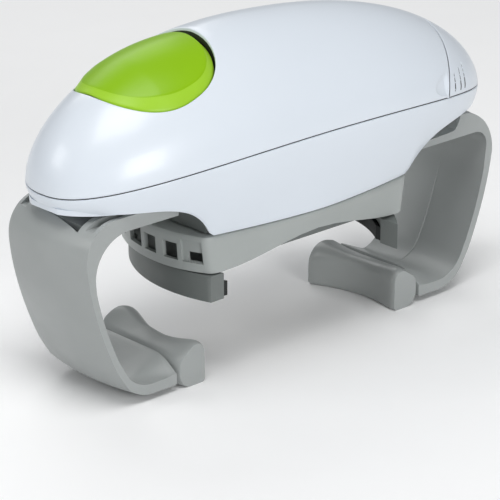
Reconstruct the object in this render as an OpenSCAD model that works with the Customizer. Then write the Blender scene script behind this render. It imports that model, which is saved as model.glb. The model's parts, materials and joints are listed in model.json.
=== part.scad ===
// Battery jar opener: an egg-shaped housing on two sliding arms that hold the jar,
// over a turning gripper with two sliding jaws that hold the lid.
// Origin: middle of the underside of the grip pads. +X along the housing, +Z up.

/* [Housing] */
// Length of the housing, tip to tip
body_l = 196; // [192:1:210]
// Width of the housing at its parting line
body_w = 70.4; // [68:0.2:80]
// Height of the dome over the middle of the parting line
dome_h = 34.8; // [34:0.2:42]
// Rise of the parting line from the tips to the middle
parting_rise = 8.4; // [7:0.2:11]
// Height of the housing's tips over the gripper's top face
tip_h = 21; // [20.4:0.2:26]
// Wall of the two shells
shell_wall = 2.4; // [1.8:0.1:2.8]
// Open seam between the two shells
seam = 0.4; // [0.2:0.1:0.8]
// Half length of the neck where the lower shell meets the gripper
neck_l = 47; // [46:0.5:50]
// Half width of the neck in the middle
neck_w = 30; // [29:0.2:32]
// Half width of the neck at its ends
neck_end_w = 24.4; // [24:0.2:26]
// Height of the shell's end edges over the neck
end_edge_h = 15.5; // [15.2:0.1:16]

/* [Button] */
// Middle of the start button, from the housing's middle
button_x = -53; // [-56:0.5:-52]
// Half width of the start button
button_w = 22.6; // [20:0.2:23.4]
// Length of the button's pointed end
button_nose = 28; // [26:0.5:29]
// Length of the button's blunt end
button_heel = 19.4; // [18:0.2:20]
// How far the button's pointed end stands proud of the dome
button_proud = 1.8; // [1:0.1:2]
// How much lower the button's blunt end lies
button_dip = 2.3; // [1:0.1:2.4]
// Travel of the button
button_travel = 1.6; // [1:0.1:1.8]
// Gap round the button
button_gap = 0.5; // [0.3:0.1:0.8]

/* [Batteries] */
// Diameter of a cell
cell_d = 14.5; // [13.5:0.1:14.6]
// Length of a cell with its tip
cell_l = 50.5; // [48:0.5:51]
// Front end of the cells
cell_x = 25.3; // [25:0.1:27]
// Where the battery cover's split crosses the middle
cover_x = 74; // [72:0.5:76]
// Radius of the split in plan
cover_r = 42.3; // [40:0.5:46]

/* [Arms] */
// Reach of the arms from the axis, measured at mid width
arm_reach = 98.3; // [97:0.1:98.8]
// Width of an arm
arm_w = 40.6; // [38:0.2:41.5]
// Wall of an arm
arm_wall = 2.8; // [2.2:0.1:3.2]
// Height of the right arm's top bar
right_bar_h = 8.6; // [7:0.1:9]
// Height of the left arm's top bar
left_bar_h = 5; // [4.6:0.1:6]
// Gap between the jar surface and the axis, which is half the jar's width
jar_r = 46.8; // [44:0.2:48]
// Height of the grip pads
pad_h = 13.8; // [12:0.2:15]
// Depth of the grip pads, away from the jar
pad_t = 13; // [12:0.2:13.6]
// Inward travel of each arm
arm_close = 25; // [20:1:25]
// Outward travel of each arm
arm_open = 2; // [1:0.5:4]

/* [Gripper] */
// Height of the lid jaws' lower edge over the ground
jaw_z = 30.2; // [26:0.2:34]
// Height of the lid jaws
jaw_h = 9.4; // [8:0.2:12]
// Thickness of a lid jaw
jaw_t = 5.5; // [4:0.1:6]
// Height of the gripper's end walls
grip_h = 13.3; // [13.2:0.1:15]
// Half length of the gripper at its top
grip_l = 52.5; // [52.3:0.1:54]
// Wall of the gripper's cover
grip_wall = 2; // [1.6:0.1:2.2]
// Rise of the arched lower edge
grip_arch = 5.8; // [4:0.2:7]

/* [Gears] */
// Module of the planetary set, pinions and racks
gear_m = 1; // [1]
// Teeth of the sun gear and of each planet
sun_teeth = 12; // [12]
// Teeth of the arm pinion
arm_teeth = 20; // [20]
// Teeth of the lid pinion
lid_teeth = 12; // [12]
// Module of the motor's reduction
red_m = 0.8; // [0.8]
// Face width of the planet gears
planet_w = 3.2; // [2.8:0.1:3.2]
// Face width of the reduction wheels
red_w = 2.4; // [2:0.1:2.4]
// Height of the racks
rack_h = 3.8; // [3:0.1:3.8]
// Diameter of the motor can
motor_d = 24.4; // [20:0.1:24.6]
// Length of the motor can
motor_l = 25; // [20:0.5:25.5]

/* [Fits] */
// Gap between parts that pass each other
run_gap = 0.3; // [0.2:0.05:0.4]
// Radial clearance of a shaft in its bore
shaft_gap = 0.06; // [0.03:0.01:0.1]
// Thinning of each gear flank
backlash = 0.08; // [0.05:0.01:0.12]

/* [Hidden] */

// Plan and section exponents of the housing
plan_n = 2.4;
ridge_n = 2.53;
ridge_button_n = 2.35;
section_n = 1.8;
parting_n = 2.12;
// The dome leans toward the button end by this share
lean = 0.17;
round_fn = 48;

// Levels, from the ground up
jaw_top = jaw_z + jaw_h;
grip_z = jaw_top + run_gap + 0.2;
grip_top = grip_z + grip_h;
neck_z = grip_top + run_gap;
tip_z = grip_top + tip_h;
floor_t = 2.5;
floor_top = neck_z + run_gap + floor_t;
bar_top = floor_top + 11.1;
left_bar_z = bar_top - left_bar_h;
right_bar_z = bar_top - right_bar_h;
bar_floor = 2;
rack_z = left_bar_z + bar_floor + run_gap;
rack_top = rack_z + rack_h;
low_plate_z = rack_top + 0.6;
plate_t = 1.8;
web_z = low_plate_z + plate_t + run_gap + 0.1;
web_t = 1.5;
carrier_z = web_z + web_t + run_gap;
carrier_t = 1.5;
planet_z = carrier_z + carrier_t + run_gap;
wheel_z = planet_z + planet_w + 0.7;
motor_gear_z = wheel_z + red_w + 0.6;
high_plate_z = motor_gear_z + red_w + run_gap;
motor_z = high_plate_z + plate_t;
shell_floor_z = bar_top + 1.5;
shell_floor_t = 1.8;

a = body_l / 2;
b = body_w / 2;
half_arm = arm_w / 2;
inner_half = 17.5;
bar_in = 38;
bar_step = 57;
guide_l = neck_l - 1 - bar_in + arm_close - 3;

// Housing form ------------------------------------------------------------------
function spow(v, e) = sign(v) * pow(abs(v), e);
function oval(x, half, e) = pow(max(1 - pow(min(abs(x) / half, 1), e), 0), 1 / e);
function parting_z(x) = tip_z + parting_rise * (1 - pow(min(abs(x) / a, 1), parting_n));
// Half width of the parting line, with the outline drawn in by t
function half_w(x, t = 0) = (b - t) * oval(x, a - t, plan_n);
// Height of the dome over the parting line at (x, y)
function dome(x, y, t = 0) =
    let (w = half_w(x, t))
    w < 0.01 ? 0 : (dome_h - t) * oval(x, a - t, x < 0 ? ridge_button_n : ridge_n) * (1 - lean * x / a)
        * oval(min(abs(y), w), w, section_n);
function dome_z(x, y, t = 0) = parting_z(x) + dome(x, y, t);
// Lower edge of the lower shell, and its half width there
function edge_z(x) = neck_z + end_edge_h * (1 - exp(-max(abs(x) - neck_l, 0) / 9));
function edge_w(x) =
    let (ax = abs(x))
    ax <= neck_l
        ? neck_w - (neck_w - neck_end_w) * pow(ax / neck_l, 1.6)
        : half_w(x) * (0.955 - (0.955 - neck_end_w / half_w(neck_l)) * exp(-(ax - neck_l) / 16));
// Half width of the lower shell at a height between its edge and the parting line
function side_w(x, z) =
    let (v = min(max((parting_z(x) - z) / (parting_z(x) - edge_z(x)), 0), 1))
    half_w(x) - (half_w(x) - edge_w(x)) * pow(v, 1.6);

// Middle of a ring of points
function middle(ring, i = 0, sum = [0, 0, 0]) =
    i == len(ring) ? sum / len(ring) : middle(ring, i + 1, sum + ring[i]);
// Closed skin through rings of points; every ring has the same count and runs
// counterclockwise seen from above, and the rings go from the bottom up
module skin(rings, closed = false) {
    n = len(rings[0]);
    m = len(rings);
    points = concat([for (r = rings) each r], closed ? [] : [middle(rings[0]), middle(rings[m - 1])]);
    sides = [for (i = [0 : m - (closed ? 1 : 2)], j = [0 : n - 1])
        let (k = (j + 1) % n, p = i * n, q = ((i + 1) % m) * n)
        each [[p + j, q + j, q + k], [p + j, q + k, p + k]]];
    caps = closed ? [] : [for (j = [0 : n - 1])
        let (k = (j + 1) % n, p = (m - 1) * n)
        each [[m * n, j, k], [m * n + 1, p + k, p + j]]];
    polyhedron(points, concat(sides, caps), convexity = 6);
}

plan_steps = 48;
// Point of the plan outline at turn u (0 to 1), at a share r of the way out
function plan_point(u, r, t = 0) =
    [r * (a - t) * spow(cos(360 * u), 2 / plan_n), r * (b - t) * spow(sin(360 * u), 2 / plan_n)];
// One level of the dome: share r of the way out, drawn in by t
function dome_ring(r, t = 0, lift = 0) = [for (k = [0 : plan_steps - 1])
    let (p = plan_point(k / plan_steps, r, t)) [p[0], p[1], dome_z(p[0], p[1], t) + lift]];
dome_steps = [1, 0.995, 0.98, 0.95, 0.9, 0.84, 0.77, 0.69, 0.6, 0.5, 0.39, 0.27, 0.14, 0.02];

// Dome wall: out along the inner face and back over the outer one
module dome_shell() {
    skin(concat(
        [for (i = [len(dome_steps) - 1 : -1 : 0]) dome_ring(dome_steps[i], shell_wall, seam / 2)],
        [for (r = dome_steps) dome_ring(r, 0, seam / 2)]
    ));
}

// Solid under the dome's outer face, drawn in by t
module dome_core(t) {
    skin([for (r = dome_steps) dome_ring(r, t)]);
}

// Level of the lower shell: share v of the way down from the seam to its edge
function side_ring(v, t = 0) = [for (k = [0 : plan_steps - 1])
    let (p = plan_point(k / plan_steps, 1, 0), x = p[0] * (1 - t / a), top = parting_z(p[0]) - seam / 2,
        z = top - v * (top - edge_z(p[0])), w = side_w(p[0], z))
    [x * (1 - 0.012 * v * v), sign(p[1]) * max(w - t, 0.02), z]];

// Button form -------------------------------------------------------------------
function egg(u, grow = 0) =
    let (c = cos(360 * u), s = sin(360 * u))
    c < 0
        ? [button_x + (button_nose + grow) * spow(c, 1), (button_w + grow) * s]
        : [button_x + (button_heel + grow) * spow(c, 2 / 2.6), (button_w + grow) * spow(s, 2 / 2.6)];
// Drop of the button's top toward its blunt end
function egg_dip(x) =
    let (s = min(max((x - button_x + 17) / (button_heel + 17), 0), 1))
    button_dip * s * s;
function egg_top(r, lift, steps = 40) = [for (p = egg_ring(r, lift, 0, 0, steps)) p - [0, 0, egg_dip(p[0])]];
// Level of the button: share r of the way out, raised from the dome drawn in by t
function egg_ring(r, lift, grow = 0, t = 0, steps = 40) = [for (k = [0 : steps - 1])
    let (p = egg(k / steps, grow), x = button_x + r * (p[0] - button_x), y = r * p[1])
    [x, y, dome_z(x, y, t) + lift]];

// Gears -------------------------------------------------------------------------
pressure = 25;
addendum = 0.8;
dedendum = 1.05;
function inv(angle) = tan(angle) * 180 / PI - angle;
// Half angle of a tooth at radius r, with each flank moved by slack
function tooth_half(m, z, r, slack) =
    let (rb = m * z / 2 * cos(pressure))
    90 / z + inv(pressure) - (r > rb ? inv(acos(rb / r)) : 0) - slack / (m * z / 2) * 180 / PI;
// Outline of a gear with a tooth at angle turn; inside is true for a ring gear's cut
function gear_points(m, z, turn = 0, inside = false) =
    let (
        rp = m * z / 2,
        tip = rp + m * (inside ? dedendum : addendum),
        root = rp - m * (inside ? addendum : dedendum),
        slack = inside ? -backlash : backlash,
        rs = [root, (root + rp) / 2, rp, (tip + rp) / 2, tip]
    )
    [for (i = [0 : z - 1])
        let (mid = turn + i * 360 / z)
        each concat(
            [for (r = rs) let (h = mid - tooth_half(m, z, r, slack)) r * [cos(h), sin(h)]],
            [for (k = [len(rs) - 1 : -1 : 0])
                let (h = mid + tooth_half(m, z, rs[k], slack)) rs[k] * [cos(h), sin(h)]])];
// Turn of a gear in mesh with another one: from the first gear's turn and the
// direction to the second one
function mesh_turn(z1, turn1, dir, z2) =
    dir + 180 - 360 / z2 * (0.5 - (dir - turn1) * z1 / 360);

module gear(m, z, h, turn = 0, bore = 0) {
    difference() {
        linear_extrude(h) polygon(gear_points(m, z, turn));
        if (bore > 0) translate([0, 0, -1]) cylinder(r = bore, h = h + 2, $fn = round_fn);
    }
}

// Rack along X with its teeth toward -Y on the line y = pitch_y, a gap at x = 0
module rack(m, x0, x1, pitch_y, back_y, h) {
    pitch = PI * m;
    half = pitch / 4 - backlash;
    t = tan(pressure);
    first = ceil(x0 / pitch + 0.1);
    last = floor(x1 / pitch - 0.6);
    teeth = [for (k = [first : last]) let (c = (k + 0.5) * pitch) each [
        [c - half - dedendum * m * t, pitch_y + dedendum * m],
        [c - half + addendum * m * t, pitch_y - addendum * m],
        [c + half - addendum * m * t, pitch_y - addendum * m],
        [c + half + dedendum * m * t, pitch_y + dedendum * m]]];
    linear_extrude(h)
        polygon(concat([[x0, back_y], [x0, pitch_y + dedendum * m]], teeth,
            [[x1, pitch_y + dedendum * m], [x1, back_y]]));
}

planet_r = gear_m * sun_teeth;
ring_teeth = 3 * sun_teeth;
ring_r = gear_m * ring_teeth / 2 + dedendum * gear_m + 2.4;
motor_teeth = 10;
red_big = 30;
red_small = 12;
wheel_teeth = 36;
// The motor and the reduction gear's pin, from the housing's middle
motor_x = -14;
red_far = red_m * (wheel_teeth + red_small) / 2;
red_near = red_m * (red_big + motor_teeth) / 2;
red_x = (red_far * red_far - red_near * red_near + motor_x * motor_x) / (2 * motor_x);
red_y = sqrt(red_far * red_far - red_x * red_x);
red_dir = atan2(red_y, red_x);
motor_dir = atan2(-red_y, motor_x - red_x);
pillar_x = 24;
pillar_y = 21.4;
pillar_r = 2.7;
end_wall_t = 1.4;
screw_r = 1.2;
spindle_r = 9;
clip_groove = 0.9;
shaft_r = 3.2;
pin_r = 1.5;
hub_r = 6.4;

// Housing -----------------------------------------------------------------------
boss_r = 3.6;
boss_at = [[-79, 17], [58, 21.4]];
module cover_zone(x, d) {
    difference() {
        translate([0, -b, tip_z - 20]) cube([body_l, body_w, 80]);
        translate([x - cover_r, 0, tip_z - 21]) cylinder(r = cover_r, h = 82, $fn = 96);
        translate([-1, -b - 1, tip_z - 21]) cube([cover_x - cover_r + 1, body_w + 2, 82]);
    }
}

module upper_shell() color("white") {
    difference() {
        union() {
            dome_shell();
            difference() {
                intersection() {
                    for (p = boss_at, s = [-1, 1]) translate([p[0], s * p[1], parting_z(p[0]) + seam / 2])
                        cylinder(r = boss_r, h = 20, $fn = 24);
                    dome_core(shell_wall / 2);
                }
                skin([egg_ring(1, -20, lip + button_gap), egg_ring(1, 8, lip + button_gap)]);
            }
        }
        skin([egg_ring(1, -12, button_gap), egg_ring(1, 22, button_gap)]);
        cover_zone(cover_x, 0);
        for (p = boss_at, s = [-1, 1]) translate([p[0], s * p[1], parting_z(p[0]) - 1])
            cylinder(r = screw_r, h = 9, $fn = 24);
    }
}

module lower_shell() color("white") {
    levels = [0, 0.12, 0.3, 0.5, 0.7, 0.86, 1];
    difference() {
        union() {
            skin(concat(
                [for (i = [len(levels) - 1 : -1 : 0]) side_ring(levels[i])],
                [for (v = levels) side_ring(v, shell_wall)]
            ), closed = true);
            for (s = [-1, 1]) {
                shell_floor(s);
                for (p = boss_at) if (sign(p[0]) == s) for (t = [-1, 1])
                    translate([p[0], t * p[1], shell_floor_z])
                        cylinder(r = boss_r, h = parting_z(p[0]) + seam / 2 - shell_floor_z, $fn = 24);
            }
        }
        for (p = boss_at, s = [-1, 1]) translate([p[0], s * p[1], shell_floor_z - 1]) {
            cylinder(r = screw_r + 0.2, h = 20, $fn = 24);
            cylinder(r = screw_r + 1.4, h = 3.4, $fn = 24);
        }
    }
}

// Underside of a housing end, which closes the shell over the arm
module shell_floor(s) {
    z = shell_floor_z + shell_floor_t / 2;
    x0 = 52;
    steps = 12;
    xs = [for (i = [0 : steps]) x0 + (a - shell_wall / 2 - x0) * sin(90 * i / steps)];
    ws = [for (x = xs) max(side_w(x, z) - shell_wall / 2, 0)];
    translate([0, 0, shell_floor_z]) linear_extrude(shell_floor_t)
        polygon(concat([for (i = [0 : steps]) [s * xs[i], ws[i]]],
            [for (i = [steps - 1 : -1 : 0]) [s * xs[i], -ws[i]]]));
}

module battery_cover() color("white") {
    difference() {
        dome_shell();
        translate([-body_l, -b - 1, tip_z - 21]) cube([body_l + cover_x - cover_r, body_w + 2, 90]);
        translate([cover_x + seam - cover_r, 0, tip_z - 21]) cylinder(r = cover_r, h = 90, $fn = 96);
        for (i = [-1 : 1], s = [-1, 1])
            translate([cover_x - 2.5 + 3.8 * i, s * (half_w(cover_x - 2.5 + 3.8 * i) + 0.1), parting_z(cover_x) + 8])
                rotate([s * 12, 0, 0]) cube([0.9, 2.2, 15], center = true);
    }
}

// Start button ------------------------------------------------------------------
stem_r = 3;
guide_r = 7.4;
guide_out = 9.6;
boss_z = 104;
spring_r = (guide_r + guide_out) / 2;
wire_r = 0.5;
spring_z = motor_z + 9;
plunger_top = spring_z - 1;
switch_top = plunger_top - button_travel - run_gap;

button_wall = 2;
lip = 1.6;
module start_button() color("yellowgreen") {
    under = button_proud - button_wall;
    skin(concat(
        [for (r = [0.05, 0.25, 0.45, 0.65, 0.85]) egg_top(r, under)],
        [egg_ring(1, under - button_dip - 0.6, -button_wall),
            egg_ring(1, -run_gap - 0.2 - lip, -button_wall, shell_wall),
            egg_ring(1, -run_gap - 0.2 - lip, lip, shell_wall),
            egg_ring(1, -run_gap - 0.2, lip, shell_wall),
            egg_ring(1, -run_gap - 0.2, 0, shell_wall)],
        [for (p = [[1, 1.3], [0.985, 0.7], [0.945, 0.1], [0.9, 0], [0.75, 0], [0.6, 0], [0.4, 0], [0.2, 0], [0.05, 0]])
            egg_top(p[0], button_proud - p[1])]
    ));
    intersection() {
        union() {
            translate([button_x, 0, boss_z]) cylinder(r = guide_out, h = 20, $fn = round_fn);
            translate([button_x, 0, plunger_top + run_gap]) cylinder(r = stem_r, h = 20, $fn = 32);
        }
        skin([egg_ring(0.6, -40), egg_top(0.6, under + 0.8), egg_top(0.4, under + 0.8), egg_top(0.2, under + 0.8),
            egg_top(0.05, under + 0.8)]);
    }
}

// Round wire wound as one spring with closed, flat ends
module button_spring() color("silver") {
    turns = 5;
    rings = turns * 16;
    z0 = spring_z + wire_r;
    z1 = boss_z - wire_r;
    sides = 6;
    path = [for (i = [0 : rings])
        let (t = i / 16, rise = min(max((t - 1) / (turns - 2), 0), 1))
        [spring_r * cos(360 * t), spring_r * sin(360 * t),
            z0 + (z1 - z0 - 4.4 * wire_r) * rise + 2.2 * wire_r * (min(t, 1) + max(t - turns + 1, 0))]];
    translate([button_x, 0, 0]) skin([for (i = [rings : -1 : 0])
        let (t = 360 * i / 16, p = path[i])
        [for (k = [0 : sides - 1]) let (q = 360 * k / sides)
            p + wire_r * [cos(q) * cos(t), cos(q) * sin(t), sin(q)]]]);
}

module button_guide() color("gray") {
    translate([button_x, 0, motor_z]) difference() {
        union() {
            cylinder(r = guide_out, h = spring_z - motor_z, $fn = round_fn);
            cylinder(r = guide_out + 2, h = 1.6, $fn = round_fn);
        }
        translate([0, 0, -1]) cylinder(r = guide_r, h = 20, $fn = round_fn);
    }
}

module micro_switch() color("dimgray") {
    difference() {
        translate([button_x - 6.4, -2.9, motor_z]) cube([12.8, 5.8, switch_top - motor_z]);
        translate([button_x, 0, switch_top - 3.4])
            cylinder(r = pin_r + shaft_gap, h = 4, $fn = 32);
    }
}

module switch_plunger() color("crimson") {
    translate([button_x, 0, switch_top - 1.2]) cylinder(r = pin_r, h = plunger_top - switch_top + 1.2, $fn = 32);
}

// Batteries ---------------------------------------------------------------------
cell_y = cell_d / 2 + 0.4;
cell_z = parting_z(cover_x) + cell_d / 2 + 1.4;
tray_z = cell_z - cell_d / 2 - 1;
tray_x = cell_x - 3.2;

module battery_tray() color("gray") {
    difference() {
        union() {
            translate([tray_x, -cell_d - 2.4, tray_z])
                cube([cell_l + 2.6, 2 * cell_d + 4.8, cell_d / 2 + 0.6]);
            for (s = [-1, 1]) translate([64, s * 10, shell_floor_z + shell_floor_t])
                cylinder(r = 3, h = tray_z - shell_floor_z - shell_floor_t + 0.5, $fn = 32);
        }
        for (s = [-1, 1]) translate([cell_x - 1.8, s * cell_y, cell_z]) rotate([0, 90, 0])
            cylinder(r = cell_d / 2, h = cell_l + 10, $fn = round_fn);
    }
}

module battery_cells() color("goldenrod") {
    for (s = [-1, 1]) translate([cell_x, s * cell_y, cell_z]) rotate([0, 90, 0]) {
        translate([0, 0, s > 0 ? 0 : 1.2]) cylinder(r = cell_d / 2, h = cell_l - 1.2, $fn = round_fn);
        translate([0, 0, s > 0 ? cell_l - 1.3 : 0]) cylinder(r = 2.7, h = 1.3, $fn = 32);
    }
}

module battery_contacts() color("silver") {
    for (s = [-1, 1]) translate([cell_x - 1.8, s * cell_y - 4.5, cell_z - 5]) cube([0.6, 9, 10]);
}

module cover_contact() color("silver") {
    x = cell_x + cell_l + 0.4;
    intersection() {
        union() {
            translate([x, -cell_d + 1, cell_z - 5]) cube([0.5, 2 * cell_d - 2, 10]);
            translate([x, -2, cell_z + 2]) cube([a - x, 4, 1]);
        }
        dome_core(shell_wall + seam / 4);
    }
}

// Frame and gearbox -------------------------------------------------------------
// Wall on the floor's end, under the arm's bar, with one corner left open
module end_wall(s, top) {
    w = edge_w(neck_l - 0.6) - shell_wall - run_gap;
    x = neck_l - 0.6;
    rotate([0, 0, s > 0 ? 0 : 180]) translate([x - end_wall_t, 0, 0]) rotate([90, 0, 90])
        linear_extrude(end_wall_t) polygon([[-w, floor_top - 1], [w, floor_top - 1], [w, top - 3],
            [w - 3, top], [-w * 0.2, top], [-w * 0.2, floor_top + 1.6], [-w * 0.72, floor_top + 1.6],
            [-w * 0.86, top - 2.2], [-w, top - 3.2]]);
}

module chassis() color("slategray") {
    steps = 16;
    xs = [for (i = [-steps : steps]) (neck_l - 0.6) * i / steps];
    ws = [for (x = xs) edge_w(x) - shell_wall - run_gap];
    difference() {
        union() {
            translate([0, 0, floor_top - floor_t]) linear_extrude(floor_t)
                polygon(concat([for (i = [0 : len(xs) - 1]) [xs[i], -ws[i]]],
                    [for (i = [len(xs) - 1 : -1 : 0]) [xs[i], ws[i]]]));
            for (x = [-1, 1], y = [-1, 1]) translate([x * pillar_x, y * pillar_y, floor_top - 0.5])
                cylinder(r = pillar_r, h = low_plate_z - floor_top + 0.5, $fn = 32);
            for (y = [-1, 1]) {
                translate([-neck_l + 1, y * 13.5 - 1.5, floor_top - 0.5])
                    cube([guide_l, 3, left_bar_z - run_gap - floor_top + 0.5]);
                translate([neck_l - 1 - guide_l, y * 13.5 - 1.5, floor_top - 0.5])
                    cube([guide_l, 3, right_bar_z - run_gap - floor_top + 0.5]);
                for (x = [-30, 30]) translate([x - 1, y * (edge_w(x) - shell_wall) - 0.6, floor_top - 1.6])
                    cube([2, 1.2, 1.6]);
            }
            end_wall(-1, left_bar_z - run_gap);
            end_wall(1, right_bar_z - run_gap);
        }
        translate([0, 0, neck_z]) cylinder(r = spindle_r + 2, h = floor_t + 2, $fn = round_fn);
        for (x = [-1, 1], y = [-1, 1]) translate([x * pillar_x, y * pillar_y, floor_top + 3])
            cylinder(r = screw_r, h = 20, $fn = 24);
    }
}

module spindle_bush() color("ivory") {
    translate([0, 0, neck_z + run_gap]) difference() {
        cylinder(r = spindle_r + 2, h = floor_t, $fn = round_fn);
        translate([0, 0, -1]) cylinder(r = spindle_r + shaft_gap, h = floor_t + 2, $fn = round_fn);
    }
}

module gearbox_lower_plate() color("gainsboro") {
    difference() {
        union() {
            translate([0, 0, low_plate_z]) {
                cylinder(r = ring_r + 2, h = plate_t, $fn = round_fn);
                for (y = [-1, 1]) translate([-pillar_x, y * pillar_y - pillar_r, 0])
                    cube([2 * pillar_x, 2 * pillar_r, plate_t]);
            }
            for (x = [-1, 1], y = [-1, 1]) translate([x * pillar_x, y * pillar_y, low_plate_z])
                cylinder(r = pillar_r, h = high_plate_z - low_plate_z, $fn = 32);
        }
        translate([0, 0, low_plate_z - 1]) cylinder(r = hub_r + shaft_gap, h = plate_t + 2, $fn = round_fn);
        translate([0, 0, low_plate_z + plate_t]) cylinder(r = ring_r + run_gap, h = 20, $fn = round_fn);
        for (x = [-1, 1], y = [-1, 1]) translate([x * pillar_x, y * pillar_y, low_plate_z - 1])
            cylinder(r = screw_r + 0.2, h = 30, $fn = 24);
        translate([red_x, red_y, motor_gear_z - run_gap])
            cylinder(r = red_m * (red_big / 2 + addendum) + run_gap, h = 20, $fn = round_fn);
    }
}

module gearbox_upper_plate() color("gainsboro") {
    difference() {
        translate([0, 0, high_plate_z]) union() {
            translate([-pillar_x - pillar_r, -pillar_y - pillar_r, 0])
                cube([2 * (pillar_x + pillar_r), 2 * (pillar_y + pillar_r), plate_t]);
            translate([button_x - guide_out - 2, -guide_out, 0])
                cube([-button_x + guide_out + 2 - pillar_x, 2 * guide_out, plate_t]);
        }
        translate([tray_x - run_gap, -cell_d - 2.4 - run_gap, high_plate_z - 1])
            cube([20, 2 * (cell_d + 2.4 + run_gap), plate_t + 2]);
        translate([motor_x, 0, high_plate_z - 1]) cylinder(r = 5.2, h = plate_t + 2, $fn = round_fn);
        translate([0, 0, high_plate_z - 1]) cylinder(r = pin_r, h = plate_t + 2, $fn = 32);
        translate([red_x, red_y, high_plate_z - 1]) cylinder(r = pin_r, h = plate_t + 2, $fn = 32);
        for (x = [-1, 1], y = [-1, 1]) translate([x * pillar_x, y * pillar_y, high_plate_z - 1])
            cylinder(r = screw_r + 0.2, h = plate_t + 2, $fn = 24);
    }
}

module gearbox_screws() color("silver") {
    for (x = [-1, 1], y = [-1, 1]) translate([x * pillar_x, y * pillar_y, 0]) {
        translate([0, 0, floor_top + 3.5]) cylinder(r = screw_r, h = motor_z - floor_top - 3.5, $fn = 24);
        translate([0, 0, motor_z]) cylinder(r = 2.4, h = 1.6, $fn = 24);
    }
}

module case_screws() color("silver") {
    for (p = boss_at, s = [-1, 1]) translate([p[0], s * p[1], shell_floor_z]) {
        translate([0, 0, 0.6]) cylinder(r = screw_r + 1.1, h = 1.7, $fn = 24);
        translate([0, 0, 2]) cylinder(r = screw_r, h = parting_z(p[0]) + 6 - shell_floor_z - 2, $fn = 24);
    }
}

module motor() color("silver") {
    translate([motor_x, 0, motor_z]) {
        cylinder(r = motor_d / 2, h = motor_l, $fn = round_fn);
        translate([0, 0, -0.8]) cylinder(r = 5, h = 1, $fn = 32);
        translate([0, 0, motor_l - 0.1]) cylinder(r = 3.2, h = 0.9, $fn = 32);
    }
}

module motor_pinion() color("goldenrod") {
    translate([motor_x, 0, motor_gear_z])
        gear(red_m, motor_teeth, red_w, mesh_turn(red_big, 0, motor_dir, motor_teeth));
}

module reduction_gear() color("ivory") {
    translate([red_x, red_y, 0]) difference() {
        union() {
            translate([0, 0, wheel_z])
                gear(red_m, red_small, motor_gear_z - wheel_z + 0.2,
                    mesh_turn(wheel_teeth, 0, red_dir, red_small));
            translate([0, 0, motor_gear_z]) gear(red_m, red_big, red_w);
        }
        translate([0, 0, wheel_z - 1]) cylinder(r = pin_r + shaft_gap, h = 12, $fn = 32);
    }
}

module gear_pins() color("silver") {
    translate([0, 0, planet_z + run_gap]) cylinder(r = pin_r, h = motor_z - planet_z - run_gap, $fn = 32);
    translate([red_x, red_y, wheel_z]) cylinder(r = pin_r, h = motor_z - wheel_z, $fn = 32);
}

module sun_gear() color("ivory") {
    difference() {
        union() {
            translate([0, 0, planet_z]) gear(gear_m, sun_teeth, wheel_z - planet_z + 0.2);
            translate([0, 0, wheel_z]) gear(red_m, wheel_teeth, red_w);
        }
        translate([0, 0, planet_z - 1]) cylinder(r = pin_r + shaft_gap, h = 12, $fn = 32);
    }
}

module planet(i) color("ivory") {
    dir = 120 * (i - 1);
    translate([planet_r * cos(dir), planet_r * sin(dir), planet_z])
        gear(gear_m, sun_teeth, planet_w, mesh_turn(sun_teeth, 0, dir, sun_teeth), pin_r + shaft_gap);
}
module planet_gear_1() planet(1);
module planet_gear_2() planet(2);
module planet_gear_3() planet(3);

module planet_carrier() color("silver") {
    translate([0, 0, carrier_z]) cylinder(r = planet_r + 3.4, h = carrier_t, $fn = round_fn);
    for (i = [0 : 2]) translate([planet_r * cos(120 * i), planet_r * sin(120 * i), carrier_z])
        cylinder(r = pin_r, h = carrier_t + run_gap + planet_w + run_gap, $fn = 32);
    translate([0, 0, pinion_z - 0.8]) cylinder(r = shaft_r, h = carrier_z - pinion_z + 0.8, $fn = round_fn);
}

module ring_gear() color("ivory") {
    translate([0, 0, web_z]) difference() {
        cylinder(r = ring_r, h = planet_z + planet_w - web_z, $fn = 72);
        translate([0, 0, web_t]) cylinder(r = planet_r + 4, h = 2 * run_gap + carrier_t - 0.1, $fn = round_fn);
        translate([0, 0, web_t + 2 * run_gap + carrier_t - 0.2]) linear_extrude(planet_w + 2)
            polygon(gear_points(gear_m, ring_teeth, 180 / ring_teeth, true));
        translate([0, 0, -1]) cylinder(r = shaft_r + shaft_gap, h = 5, $fn = round_fn);
    }
    translate([0, 0, rack_top]) difference() {
        cylinder(r = hub_r, h = web_z - rack_top + 0.1, $fn = round_fn);
        translate([0, 0, -1]) cylinder(r = shaft_r + shaft_gap, h = 6, $fn = round_fn);
    }
}

module arm_pinion() color("goldenrod") {
    translate([0, 0, rack_z]) gear(gear_m, arm_teeth, rack_h, 0, shaft_r + shaft_gap);
}

// Arms --------------------------------------------------------------------------

// Corner points of an outline, each with a radius, as a list of arc points
function rounded(ps, steps = 6) = [for (i = [0 : len(ps) - 1])
    let (p = ps[i], q = [p[0], p[1]], r = p[2],
        u0 = [ps[(i + len(ps) - 1) % len(ps)][0], ps[(i + len(ps) - 1) % len(ps)][1]] - q,
        u1 = [ps[(i + 1) % len(ps)][0], ps[(i + 1) % len(ps)][1]] - q,
        e0 = u0 / norm(u0), e1 = u1 / norm(u1),
        half = acos(e0 * e1) / 2, c = q + r / sin(half) * (e0 + e1) / norm(e0 + e1),
        t0 = q + r / tan(half) * e0, t1 = q + r / tan(half) * e1,
        a0 = atan2(t0[1] - c[1], t0[0] - c[0]), da = atan2(t1[1] - c[1], t1[0] - c[0]) - a0,
        turn = da > 180 ? da - 360 : da < -180 ? da + 360 : da)
    each r == 0 ? [q] : [for (k = [0 : steps]) c + r * [cos(a0 + turn * k / steps), sin(a0 + turn * k / steps)]]];

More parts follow.
